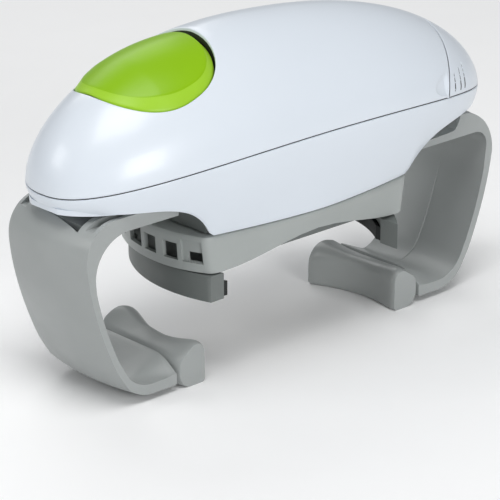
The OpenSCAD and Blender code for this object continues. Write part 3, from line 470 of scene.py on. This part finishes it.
# Housing pieces ----------------------------------------------------------------
EDGE_R = 0.4
EDGE_ROUND = ((0.0, 0.0), (0.12, 0.03), (0.3, 0.16), (EDGE_R, EDGE_R))    # across and down
SEAM_LIP = ((0.04, 0.22), (0.16, 0.06), (EDGE_R, 0.0))                    # inward and up


def dome_column(edge, split, corner_y):
    """Points of the upper shell from the button's hole out to a place on its border."""
    steps = 46
    angle = math.atan2(edge[1], edge[0] - EGG_X)
    hole = egg_reach(angle, EGG_GAP)
    start = hole + EDGE_R
    stop = math.hypot(edge[1], edge[0] - EGG_X) - (EDGE_R if split else 0.0)
    power = 1 + abs(edge[1] / corner_y) ** 4 if split else 2.0
    column = []

    def add(r, shift):
        x, y = from_egg(angle, r)
        column.append((x, y, dome_z(x, y) + shift))

    for drop in (3.2, 1.6):
        add(hole, -drop)
    for inward, down in reversed(EDGE_ROUND):
        add(start - inward, -down)
    for i in range(1, steps + 1):
        lift = SEAM / 2 if i < steps or split else SEAM / 2 + EDGE_R
        add(start + (stop - start) * (1 - (1 - i / steps) ** power), lift * (i / steps) ** 2)
    if split:
        for outward, down in EDGE_ROUND[1:]:
            add(stop + outward, SEAM / 2 - down)
        for drop in (1.2, 2.6):
            column.append((*edge, max(dome_z(*edge) - drop, parting_z(edge[0])) + SEAM / 2))
    else:
        for inward, up in SEAM_LIP + ((WALL / 2, 0.0), (WALL, 0.0)):
            column.append((*drawn_in(*edge, inward), parting_z(edge[0]) + SEAM / 2 + up))
    return column


def upper_shell():
    """Dome with the button's hole and the battery cover's split, and rounded edges."""
    corner = split_corner()
    columns = [dome_column(edge, True, corner[1]) for edge in split_arc(64)[:-1]]
    columns += [dome_column(edge, False, corner[1]) for edge in outline_points(corner[0], 260)[:-1]]
    piece("housing_top", [zip(*columns)], "white_shell", "housing", ("upper_shell",), carve=press_dimples)


def cover_column(x, y):
    """Points of the battery cover from a place on its split out to the parting line."""
    steps = 40
    x += SEAM
    y = max(min(y, half_w(x) - 0.01), -half_w(x) + 0.01)
    far = max(BODY_L * oval(y, BODY_W, OUTLINE_POWER), x + 0.02)
    column = []

    def add(at, shift):
        column.append((at, y, dome_z(at, y) + shift))

    for drop in (2.6, 1.2):
        add(x, SEAM / 2 - drop)
    for inward, down in reversed(EDGE_ROUND):
        add(x + min(EDGE_R - inward, (far - x) / 2), SEAM / 2 - down)
    start = x + min(EDGE_R, (far - x) / 2)
    for i in range(1, steps + 1):
        lift = SEAM / 2 if i < steps else SEAM / 2 + EDGE_R
        add(start + (far - start) * (1 - (1 - i / steps) ** 2), lift)
    for inward, up in SEAM_LIP + ((WALL, 0.0),):
        column.append((*drawn_in(far, y, inward), parting_z(far) + SEAM / 2 + up))
    return column


def battery_cover():
    """End cap of the dome beyond the split, with its grip grooves."""
    columns = [cover_column(*edge) for edge in split_arc(72)]
    piece("battery_lid", [zip(*columns)], "white_shell", "cover", ("battery_cover",), 35.0,
          closed=False, carve=cut_grooves)


def lower_shell():
    """Lower shell: outer face, lips and inner face as one closed loft."""
    count, levels = 288, 30
    top_lip = ((WALL, 0.0), (EDGE_R, 0.0), (0.16, -0.05), (0.04, -0.2), (0.0, -EDGE_R))
    low_lip = ((0.0, EDGE_R), (0.06, 0.14), (0.22, 0.02), (EDGE_R, 0.0), (WALL, 0.0))

    def ring(v, inset, shift=0.0):
        points = []
        for k in range(count):
            px, py = outline_point(2 * math.pi * k / count)
            top = parting_z(px) - SEAM / 2
            z = top - v * (top - edge_z(px))
            x = px * (1 - inset / BODY_L) * (1 - 0.012 * v * v)
            y = math.copysign(max(side_w(px, z) - inset, 0.02), py) if abs(py) > 1e-9 else 0.0
            points.append((x, y, z + shift))
        return points

    rows = [ring(0, *lip) for lip in top_lip]
    rows += [ring(i / levels, 0.0) for i in range(1, levels)]
    rows += [ring(1, *lip) for lip in low_lip]
    rows += [ring(i / 10, WALL) for i in range(9, -1, -1)]
    piece("housing_base", [rows], "white_shell", "housing", ("lower_shell",))


def end_floor(side, name):
    """Flat underside of a housing end."""
    z, reach, steps = FLOOR_Z + FLOOR_T / 2, BODY_L - WALL / 2, 40
    edge = []
    for i in range(steps + 1):
        x = FLOOR_X + (reach - FLOOR_X) * math.sin(math.pi / 2 * i / steps)
        edge.append((x, max(side_w(x, z) - WALL / 2, 0.02)))
    loop = [(side * x, w, FLOOR_Z) for x, w in edge] + [(side * x, -w, FLOOR_Z) for x, w in reversed(edge)]
    mesh = bmesh.new()
    face = mesh.faces.new(add_line(mesh, loop))
    grown = bmesh.ops.extrude_face_region(mesh, geom=[face])
    verts = [v for v in grown["geom"] if isinstance(v, bmesh.types.BMVert)]
    bmesh.ops.translate(mesh, verts=verts, vec=(0, 0, FLOOR_T * MM))
    bmesh.ops.recalc_face_normals(mesh, faces=mesh.faces)
    finish_piece(name, mesh, "white_shell", "housing")


def button_dip(x):
    """How far the button's top has fallen toward its heel."""
    return clamp((x - EGG_X + EGG_DIP_L) / (EGG_HEEL + EGG_DIP_L)) ** 2 * EGG_DIP


def button_ring(share, lift, grow=0.0, dip=True):
    """Points round the button at a share of its size and a lift above the dome."""
    count = 200
    points = []
    for k in range(count):
        angle = 2 * math.pi * k / count
        x, y = from_egg(angle, egg_reach(angle, grow) * share)
        rise = lift * min(0.1 + 0.9 * (x - EGG_X + EGG_NOSE) / 15, 1)
        points.append((x, y, dome_z(x, y) + rise - (button_dip(x) if dip else 0)))
    return points


def start_button():
    """Egg-shaped button: skirt and bevelled rim as one piece in a paler green as painted highlight, crowned
    top as the other.
    """
    rim_z, rim_in, bevel_l, top_in = -0.12, -0.25, 1.9, -2.7
    rim = [button_ring(1, -6.0, dip=False), button_ring(1, -0.6), button_ring(1, -0.35, -0.08)]
    rim.append(button_ring(1, rim_z, rim_in))
    rim += [button_ring(1, rim_z + (EGG_PROUD - 0.08) * i / 4, rim_in - bevel_l * i / 4) for i in range(1, 5)]
    top = [rim[-1], button_ring(1, EGG_PROUD - 0.03, -2.35), button_ring(1, EGG_PROUD, top_in)]
    top += [button_ring(0.94 - 0.058 * i, EGG_PROUD, top_in) for i in range(16)]
    middle = dome_z(EGG_X, 0) + EGG_PROUD - button_dip(EGG_X)
    top.append([(EGG_X, 0.0, middle)] * len(rim[0]))
    # the rim's paler green is a painted highlight
    piece("start_key_highlit_rim", [rim], "green_edge", "button")
    piece("start_key", [top], "green_button", "button", ("start_button",))


def button_hole_shadow():
    """Dark ring set in the hole round the button as painted shade for the hole's shadowed wall."""
    count = 200
    rows = []
    for drop in (1.0, 5.0):
        row = []
        for k in range(count):
            angle = 2 * math.pi * k / count
            x, y = from_egg(angle, egg_reach(angle, EGG_GAP) - 0.02)
            row.append((x, y, dome_z(x, y) - drop))
        rows.append(row)
    piece("button_hole_shadow", [rows], "black_switch", "housing")


def seam_shadow_strip():
    """Dark strip set in the gap between the upper and lower shell as painted shade; the real gap only lies in
    shadow.
    """
    count = 288
    rim = [outline_point(2 * math.pi * k / count) for k in range(count)]
    rows = [[(*drawn_in(x, y, 0.5), parting_z(x) + rise) for x, y in rim] for rise in (-0.6, 0.6)]
    piece("seam_shadow_strip", [rows], "black_switch", "housing")


def cover_split_shadow():
    """Dark strip set in the battery cover's split as painted shade, lower where the thumb dimples are."""
    rows = []
    for drop in (0.0, 1.6):
        row = []
        for x, y in split_arc(64):
            z = dome_z(x, y)
            under = 1.2 * math.sqrt(max(1 - ((z - DIMPLE_Z) / 3.9) ** 2, 0))
            row.append((x + 0.05, y, max(z - 0.35 - under - drop, parting_z(x) - 0.3)))
        rows.append(row)
    piece("cover_split_shadow", [rows], "black_switch", "housing", closed=False)


upper_shell()
battery_cover()
lower_shell()
end_floor(-1, "end_floor_left")
end_floor(1, "end_floor_right")
start_button()
button_hole_shadow()
seam_shadow_strip()
cover_split_shadow()
groove_shadow_strips()


# Arms ---------------------------------------------------------------------------
REACH, HALF_ARM = 98.3, 20.3
BAR_TOP, BAR_STEP, BAR_START = 67.6, 57.0, 38.0
ARM_Z, HOOK_X, HOOK_T = 2.4, 58.45, 3.6
WALL_TOP, WALL_LOW = BAR_TOP - 11.6, 15.0
KNEE_LOW, KNEE_IN, LOW_BEND_OUT, LOW_BEND_IN = 14.4, 7.2, 14, 13
INNER_LOW, INNER_TOP = 16, 44
RIB_IN, RIB_OUT, RIM_IN = 13.0, 15.5, 18.8
WELL_START, WELL_END = 90.2, 92.3                       # deep end of the pocket in the bar's top
WELL_FRONT, WELL_BACK = 1.6, -0.9                       # how far its end wall slants to each side
NOTCH_START, NOTCH_RAMP, NOTCH_END = 61.0, 74.0, 78.3   # cut in the near rim
PANEL = 0.8                                             # thickening inside the far half
UNCUT = 999.0

Arm = namedtuple("Arm", "side bar_h corner bend wall notch")
LEFT = Arm(side=-1, bar_h=5.0, corner=14, bend=12, wall=2.2, notch=False)
RIGHT = Arm(side=1, bar_h=8.6, corner=6, bend=17, wall=2.8, notch=True)

# What the bar's top is there, the thickening inside, and the places across the arm
ARM_SPANS = (
    ("plain", PANEL, (-HALF_ARM, -19.9, -19.3, -RIM_IN)),
    ("groove", PANEL, (-RIM_IN, -17.6, -16.5, -RIB_OUT)),
    ("plain", PANEL, (-RIB_OUT, -14.2, -RIB_IN)),
    ("pocket", PANEL, (-RIB_IN, -10, -7.5, -5, -3)),
    ("pocket", 0.0, (-3, -1, 1, 3.5, 6, 8.5, 11, RIB_IN)),
    ("plain", 0.0, (RIB_IN, 14.2, RIB_OUT)),
    ("groove", 0.0, (RIB_OUT, 16.5, 17.6, RIM_IN)),
    ("plain", 0.0, (RIM_IN, 19.3, 19.9, HALF_ARM)),
)


def rounded(corners, steps):
    """Outline through corner points (x, z, radius), each corner turned into an arc."""
    points = []
    for i, (x, z, r) in enumerate(corners):
        here = Vector((x, z))
        if r == 0:
            points.append((x, z))
            continue
        back = (Vector(corners[i - 1][:2]) - here).normalized()
        ahead = (Vector(corners[(i + 1) % len(corners)][:2]) - here).normalized()
        half = math.acos(max(-1.0, min(1.0, back.dot(ahead)))) / 2
        middle = here + (back + ahead).normalized() * (r / math.sin(half))
        start = here + back * (r / math.tan(half)) - middle
        stop = here + ahead * (r / math.tan(half)) - middle
        first = math.atan2(start.y, start.x)
        turn = math.atan2(stop.y, stop.x) - first
        turn -= 2 * math.pi * round(turn / (2 * math.pi))
        for k in range(steps + 1):
            t = first + turn * k / steps
            points.append((middle.x + r * math.cos(t), middle.y + r * math.sin(t)))
    return points


def arm_out(z):
    """Reach of an arm's outer face at a height."""
    return REACH - 0.0235 * max(WALL_TOP - z, 0) ** 1.66


def flat(r, y):
    """Reach along X of a distance from the turning axis, at a place across the arm."""
    return math.sqrt(max(r * r - y * y, 0))


def well_edge(y):
    """Reach of the end wall of what is sunk into the bar's top."""
    if abs(y) <= RIB_IN:
        return WELL_END + abs(y) * (WELL_FRONT if y > 0 else WELL_BACK) / RIB_IN
    near = WELL_END + (WELL_FRONT if y > 0 else WELL_BACK)
    share = min((abs(y) - RIB_IN) / (RIB_OUT - RIB_IN), 1)
    return near + (flat(WELL_END + WELL_FRONT, y) - near) * share


def upper_bend(arm):
    """Outer bend between bar and wall: reach of its middle, its last point, top of the wall."""
    wall_z = min(WALL_TOP - 2, BAR_TOP - arm.bend - 0.6)
    corners = [(BAR_STEP, BAR_TOP, 0), (REACH + 0.05, BAR_TOP, arm.bend), (arm_out(wall_z), wall_z, 0)]
    outer = rounded(corners, 4)
    return outer[1][0], outer[-2], wall_z


def bar_line(arm, y, kind):
    """Top of the bar out to the end of its pocket or groove."""
    centre = upper_bend(arm)[0]
    low = BAR_TOP - arm.bar_h
    edge = well_edge(y)

    def skin_z(x):
        out = math.hypot(x, y) - centre
        return BAR_TOP if out <= 0 else BAR_TOP - arm.bend + math.sqrt(max(arm.bend ** 2 - out * out, 0))

    def notch_z(x):
        on_rim = y >= RIB_OUT and (kind != "plain" or y >= RIM_IN)
        if not (arm.notch and on_rim and NOTCH_START < x < NOTCH_END):
            return UNCUT
        slope = 0.6 * (x - NOTCH_START) / 15
        return low + 2.4 + slope + 5.2 * clamp((x - NOTCH_RAMP) / (NOTCH_END - NOTCH_RAMP)) ** 2.6

    turn_x = flat(centre, y)
    shelf = [BAR_STEP + 2, NOTCH_START, NOTCH_START + 0.05, NOTCH_RAMP, 75.6, 76.8, 77.6, 78.1, NOTCH_END]
    shelf += [turn_x + (WELL_START - turn_x) * k / 5 for k in range(6)]
    well = [WELL_START + (edge - WELL_START) * k / 3 for k in range(4)]
    shelf_z = {"plain": UNCUT, "pocket": low + 2.0, "groove": BAR_TOP - 2.7}[kind]
    well_z = min(shelf_z, BAR_TOP - 5.4) if kind == "pocket" else shelf_z
    line = [(BAR_STEP, BAR_TOP), (BAR_STEP + 2, BAR_TOP)]
    line += [(x, min(skin_z(x), shelf_z, notch_z(x))) for x in shelf]
    line += [(x, min(skin_z(x), well_z)) for x in well]
    return line + [(edge, skin_z(edge))]


def outer_line(arm, y):
    """Outside of the arm from the upper bend, down the wall and under the hook."""
    centre, tail, wall_z = upper_bend(arm)
    begin = math.acos(min((math.hypot(well_edge(y), y) - centre) / arm.bend, 1))
    finish = math.atan2(tail[1] - BAR_TOP + arm.bend, tail[0] - centre)
    line = []
    for k in range(1, 15):
        t = begin + (finish - begin) * k / 14
        line.append((flat(centre + arm.bend * math.cos(t), y), BAR_TOP - arm.bend + arm.bend * math.sin(t)))
    for k in range(15):
        z = wall_z - (wall_z - WALL_LOW) * k / 14
        line.append((flat(arm_out(z), y), z))
    knee = arm_out(KNEE_LOW) - KNEE_IN
    corners = [(arm_out(WALL_LOW), WALL_LOW, 0), (knee, ARM_Z, LOW_BEND_OUT), (HOOK_X, ARM_Z, 0)]
    line += [(flat(r, y), z) for r, z in rounded(corners, 14)[1:-1]]
    return line + [(64.0, ARM_Z), (HOOK_X + 0.5, ARM_Z)]


def inner_line(arm, y, panel):
    """Inside of the arm: hook's nose, ramp, lower bend, wall and upper bend."""
    floor, low = ARM_Z + HOOK_T, BAR_TOP - arm.bar_h
    thick = arm.wall * 1.1
    knee = arm_out(KNEE_LOW) - KNEE_IN - 0.7 - panel
    bend = rounded([(BAR_STEP, floor, 0), (knee, floor, LOW_BEND_IN),
                    (arm_out(INNER_LOW) - thick - panel, INNER_LOW, 0)], 16)[1:-1]
    lift = 5 * math.sin(math.pi / 2 * clamp((HALF_ARM - y) / 11))
    ramp_top, ramp_l = ARM_Z + 4.6 + lift, 3 + 2.1 * lift
    line = [(HOOK_X, ARM_Z + 0.5), (HOOK_X, ramp_top - 1.0), (HOOK_X + 0.3, ramp_top - 0.35)]
    start, stop = HOOK_X + 1.0, flat(bend[8][0], y)
    for k in range(15):
        x = start + (stop - start) * k / 14
        past = math.hypot(x, y) - bend[0][0]
        base = floor
        if past > 0:
            base += LOW_BEND_IN - math.sqrt(max(LOW_BEND_IN ** 2 - past * past, 0))
        slope = ramp_top - (ramp_top - floor + 0.1) * (x - HOOK_X) / ramp_l
        gap = base - slope
        line.append((x, (base + slope + math.sqrt(gap * gap + 0.5)) / 2 if k < 14 else base))
    line += [(flat(r, y), z) for r, z in bend[9:]]
    for k in range(1, 13):
        z = INNER_LOW + (INNER_TOP - INNER_LOW) * k / 12
        line.append((flat(arm_out(z) - thick - panel * min((INNER_TOP - z) / 16, 1), y), z))
    corners = [(arm_out(INNER_TOP) - thick, INNER_TOP, 0), (REACH - arm.wall, low, arm.corner),
               (BAR_STEP, low, 0)]
    line += [(flat(r, y), z) for r, z in rounded(corners, 14)[1:-1]]
    return line + [(70.0, low), (BAR_STEP, low)]


def add_channel(mesh, arm):
    """Channel-shaped root of the bar, which slides in the housing."""
    low, inner_w, outer_w = BAR_TOP - arm.bar_h, 15.3, 17.5
    section = [(-outer_w, low), (outer_w, low), (outer_w, BAR_TOP), (inner_w, BAR_TOP),
               (inner_w, low + 2), (-inner_w, low + 2), (-inner_w, BAR_TOP), (-outer_w, BAR_TOP)]
    ends = [add_line(mesh, [(arm.side * x, y, z) for y, z in section]) for x in (BAR_START, BAR_STEP + 0.3)]
    skin(mesh, ends, True)
    cap_ends(mesh, ends)


def c_arm(arm, name, node, body):
    """C-shaped arm: bar with its pocket and ribs, curved wall, hook with a ramp behind the pad."""
    mesh = bmesh.new()
    lines = []
    for kind, panel, places in ARM_SPANS:
        for y in places:
            section = bar_line(arm, y, kind) + outer_line(arm, y) + inner_line(arm, y, panel)
            lines.append(add_line(mesh, [(arm.side * x, -y, z) for x, z in section]))
    skin(mesh, lines, True)
    cap_ends(mesh, lines)
    add_channel(mesh, arm)
    clean(mesh)
    soften(mesh, lambda v: abs(abs(v.co.y) - HALF_ARM * MM) < 1e-5)
    fillet(finish_piece(name, mesh, "grey_arm", body, (node,), 30.0), 0.7)


c_arm(LEFT, "arm_c_left", "arm_left", "left_arm")
c_arm(RIGHT, "arm_c_right", "arm_right", "right_arm")


# Grip pads ----------------------------------------------------------------------
PAD_TOP, PAD_R, PAD_BACK = 13.8, 46.8, 58.2
CREST = 4.2                                             # rise of the pad's crest toward its ends


def grip_pad(side, name, node, body, far_crest):
    """Grip pad: hollow toward the middle, its crest higher at the ends."""
    steps = 44
    mesh = bmesh.new()
    lines = []
    for i in range(steps + 1):
        u = math.sin(math.pi / 2 * (2 * i / steps - 1))
        y = HALF_ARM * u
        shrink = 1.3 * abs(u) ** 12
        front = math.sqrt(PAD_R ** 2 - y * y) - 2 * u + 0.4 + shrink
        if u > 0.3:
            crest = far_crest * ((u - 0.3) / 0.7) ** 1.4
        else:
            crest = CREST * ((-u - 0.2) / 0.8) ** 1.4 if u < -0.2 else 0
        top = PAD_TOP + 0.9 + crest - shrink
        back_top = PAD_TOP - 2.3 + 2 * max(u, 0) ** 7 - 1.2 * max(-u, 0) ** 4
        back = PAD_BACK - shrink
        section = rounded([(front, 0, 1.5), (front + 0.3, top, 3.5 + 4 * max(u, 0) ** 3),
                           (back, back_top, 4), (back, 0, 5)], 9)
        lines.append(add_line(mesh, [(side * x, y, z) for x, z in section]))
    skin(mesh, lines, True)
    cap_ends(mesh, lines)
    clean(mesh)
    finish_piece(name, mesh, "grey_arm", body, (node,), 38.0)


grip_pad(-1, "pad_left", "grip_pad_left", "left_arm", 7.6)
grip_pad(1, "pad_right", "grip_pad_right", "right_arm", CREST)


# Turning gripper ----------------------------------------------------------------
GRIPPER_Z, GRIPPER_H, GRIPPER_ARCH = 40.1, 13.3, 5.8
END_W, CORNER_X = 22.6, 42.0
ROOF = 11.2                                             # level of the roof inside the cover
END_PLACES = (22.6, 22.0, 19.5, 16.9, 14.6, 12.9, 9.5, 6.7, 5.0, 3.1, 0.0,
              -3.1, -4.9, -6.7, -9.8, -12.9, -14.6, -16.9, -19.5, -22.0, -22.6)
SIDE_PLACES = (-38, -34, -29, -23, -16, -8, 0, 8, 16, 23, 29, 34, 38)
CORNER_SHARES = (0.2, 0.4, 0.6, 0.8, 1.0)
LEVELS = (0.0, 0.5, 2.2, 3.2, 3.6, 7.0, 9.2, 10.4, ROOF, 12.4, 13.0, GRIPPER_H)
TOP_ROUND = {12.4: 0.15, 13.0: 0.5, GRIPPER_H: 1.3}     # how far the top levels are drawn in
OUTSIDE, RECESS, INSIDE = 0, 1, 2
DEPTHS = {OUTSIDE: 0.0, RECESS: 0.8, INSIDE: 1.6}


def gripper_side_y(x, v):
    """Half width of the gripper's long side, v from 0 at the top to 1 at the bottom."""
    along = min(abs(x) / NECK_L, 1)
    return NECK_W - (NECK_W - NECK_END_W + 0.2) * along ** SIDE_POWER - v * 2.4 * (1 - along)


def gripper_end_x(y, v):
    """Reach of the gripper's end at a place across it."""
    fall = 5.2 * (max(-4 - y, 0) / 18.9) ** 2 + 5.7 * (max(y + 4, 0) / 24.4) ** 2.2
    return 52.9 - 0.9 * v - fall * (0.8 + 0.2 * v)


def gripper_corner(side, v):
    """Curved corner of the gripper from its end to its long side."""
    start = Vector((-gripper_end_x(side * END_W, v), side * END_W))
    stop = Vector((-CORNER_X, side * gripper_side_y(CORNER_X, v)))
    knee = Vector((start.x + 0.8, side * (gripper_side_y(45.0, v) + 0.2)))
    spots = [start * (1 - t) ** 2 + knee * (2 * t * (1 - t)) + stop * t * t for t in CORNER_SHARES]
    return [(spot.x, spot.y) for spot in spots]


def gripper_loop(v):
    """Outline of the gripper's cover at one level; its second half is the first one turned."""
    half = gripper_corner(1, v)[::-1]
    half += [(-gripper_end_x(y, v), y) for y in END_PLACES]
    half += gripper_corner(-1, v)
    half += [(x, -gripper_side_y(x, v)) for x in SIDE_PLACES]
    return half + [(-x, -y) for x, y in half]


def gripper_ring(level):
    """Place, inward direction and height of each point of the cover's outline at a level."""
    loop = gripper_loop(1 - level / GRIPPER_H)
    ring = []
    for k, (x, y) in enumerate(loop):
        ahead, behind = loop[(k + 1) % len(loop)], loop[k - 1]
        inward = Vector((behind[1] - ahead[1], ahead[0] - behind[0])).normalized()
        arch = GRIPPER_ARCH * math.cos(math.pi / 2 * x / 45) ** 2 if abs(x) < 41 else 0
        low = GRIPPER_Z + arch
        z = low + (GRIPPER_Z + GRIPPER_H - low) * level / GRIPPER_H
        ring.append((Vector((x, y)) + inward * TOP_ROUND.get(level, 0), inward, z))
    return ring


def gripper_face(j, k):
    """What the cover is above level j and after column k: outside, recess, or open to the inside."""
    first = len(CORNER_SHARES)
    if not first <= k < first + len(END_PLACES) - 1 or j + 1 == len(LEVELS):
        return OUTSIDE
    y = (END_PLACES[k - first] + END_PLACES[k - first + 1]) / 2
    z = (LEVELS[j] + LEVELS[j + 1]) / 2
    if abs(y) < 3.1 or 6.7 < -y < 12.9 or 5.0 < y < 12.9:
        return INSIDE if 3.2 < z < (10.4 if y > 5 else 9.2) else OUTSIDE
    if 16.9 < abs(y) < 22.0 and 3.6 < z < 7.0:
        return INSIDE
    if 14.6 < -y < 22.0 and 3.2 < z < ROOF:
        return RECESS
    return OUTSIDE


def gripper_cover():
    """Cover with arched sides, a recessed panel and windows in its ends."""
    rings = [gripper_ring(level) for level in LEVELS]
    n, rows = len(rings[0]), len(LEVELS) - 1
    mesh = bmesh.new()
    made = {}

    def vert(j, k, depth):
        k %= n
        if (j, k, depth) not in made:
            spot, inward, z = rings[j][k]
            if depth == INSIDE:
                spot = spot - inward * TOP_ROUND.get(LEVELS[j], 0)
                z = min(z, GRIPPER_Z + GRIPPER_H - 2.0)
            made[(j, k, depth)] = add_line(mesh, [(*(spot + inward * DEPTHS[depth]), z)])[0]
        return made[(j, k, depth)]

    def quad(*corners):
        corners = list(dict.fromkeys(vert(*corner) for corner in corners))
        if len(corners) > 2:
            mesh.faces.new(corners)

    for j in range(rows):
        for k in range(n):
            here, after = gripper_face(j, k % (n // 2)), gripper_face(j, (k + 1) % (n // 2))
            if here != INSIDE:
                quad((j, k, here), (j, k + 1, here), (j + 1, k + 1, here), (j + 1, k, here))
                if LEVELS[j + 1] <= ROOF:
                    quad((j, k, INSIDE), (j, k + 1, INSIDE), (j + 1, k + 1, INSIDE), (j + 1, k, INSIDE))
            if after != here:
                quad((j, k + 1, here), (j, k + 1, after), (j + 1, k + 1, after), (j + 1, k + 1, here))
            over = gripper_face(j + 1, k % (n // 2))
            if j + 1 < rows and over != here:
                quad((j + 1, k, here), (j + 1, k, over), (j + 1, k + 1, over), (j + 1, k + 1, here))
    for k in range(n):
        quad((0, k, OUTSIDE), (0, k + 1, OUTSIDE), (0, k + 1, INSIDE), (0, k, INSIDE))
    for row, depth in ((rows, OUTSIDE), (LEVELS.index(ROOF), INSIDE)):
        mesh.faces.new([vert(row, k, depth) for k in range(n)])
    bmesh.ops.remove_doubles(mesh, verts=mesh.verts, dist=2e-6)
    bmesh.ops.recalc_face_normals(mesh, faces=mesh.faces)
    soften(mesh, lambda v: False, 1.0)
    cover = finish_piece("gripper_housing", mesh, "grey_gripper", "gripper", ("gripper_cover",), 40.0)
    fillet(cover, 0.3, 2)


gripper_cover()


# CAD pieces that keep their own shape -----------------------------------------
MOULDED_ROUND, SMALL_ROUND = 0.4, 0.12
MOULDED_SLOTS = ("grey_arm", "grey_gripper", "dark_frame")


def dress_cad():
    """Gives every shown CAD node its finish and rounded edges."""
    slots = {s["node"]: s["material_slot"] for s in frame["record"]["subparts"]}
    for node, made in frame["nodes"].items():
        made.data.materials.clear()
        made.data.materials.append(LOOKS[slots[node]])
        weld = made.modifiers.new("weld", "WELD")
        weld.merge_threshold = 1e-6
        bevel = made.modifiers.new("edge", "BEVEL")
        bevel.width = (MOULDED_ROUND if slots[node] in MOULDED_SLOTS else SMALL_ROUND) * MM
        bevel.segments = 2
        bevel.limit_method = "ANGLE"
        bevel.angle_limit = math.radians(40)
        bevel.use_clamp_overlap = True


dress_cad()


# Room --------------------------------------------------------------------------
# Name, place and aim in metres, size and power
LAMPS = (
    ("key", (-0.35, -0.4, 1.5), (0, 0, 0.05), 0.9, 13.5),
    ("front", (-0.3, -1.5, 0.5), (0, 0, 0.05), 0.6, 8.5),
    ("left", (-1.4, 0.6, 0.9), (-0.05, 0, 0.08), 0.6, 4.5),
    ("back", (0.5, 1.3, 1.3), (0, 0, 0.06), 1.2, 8.0),
)


def add_floor():
    """Wide pale floor."""
    mesh = bmesh.new()
    bmesh.ops.create_grid(mesh, x_segments=1, y_segments=1, size=6.0)
    data = bpy.data.meshes.new("floor")
    mesh.to_mesh(data)
    mesh.free()
    floor = bpy.data.objects.new("floor", data)
    bpy.context.scene.collection.objects.link(floor)
    look = material("floor_paper", (253, 253, 253), (252, 252, 252), 0.9, PAPER, specular=0.2)
    data.materials.append(look)


def add_light():
    """Faint even light from all round, and four soft lamps."""
    world = bpy.data.worlds.new("room")
    world.use_nodes = True
    sky = world.node_tree.nodes["Background"]
    sky.inputs["Color"].default_value = (0.94, 0.97, 1.0, 1.0)
    sky.inputs["Strength"].default_value = 0.2
    bpy.context.scene.world = world
    for name, place, aim, size, power in LAMPS:
        light = bpy.data.lights.new(name, "AREA")
        light.size = size
        light.energy = power
        lamp = bpy.data.objects.new(name, light)
        bpy.context.scene.collection.objects.link(lamp)
        lamp.location = place
        lamp.rotation_mode = "QUATERNION"
        lamp.rotation_quaternion = (Vector(aim) - Vector(place)).to_track_quat("-Z", "Y")


add_floor()
add_light()
bpy.context.scene.view_settings.view_transform = "Standard"
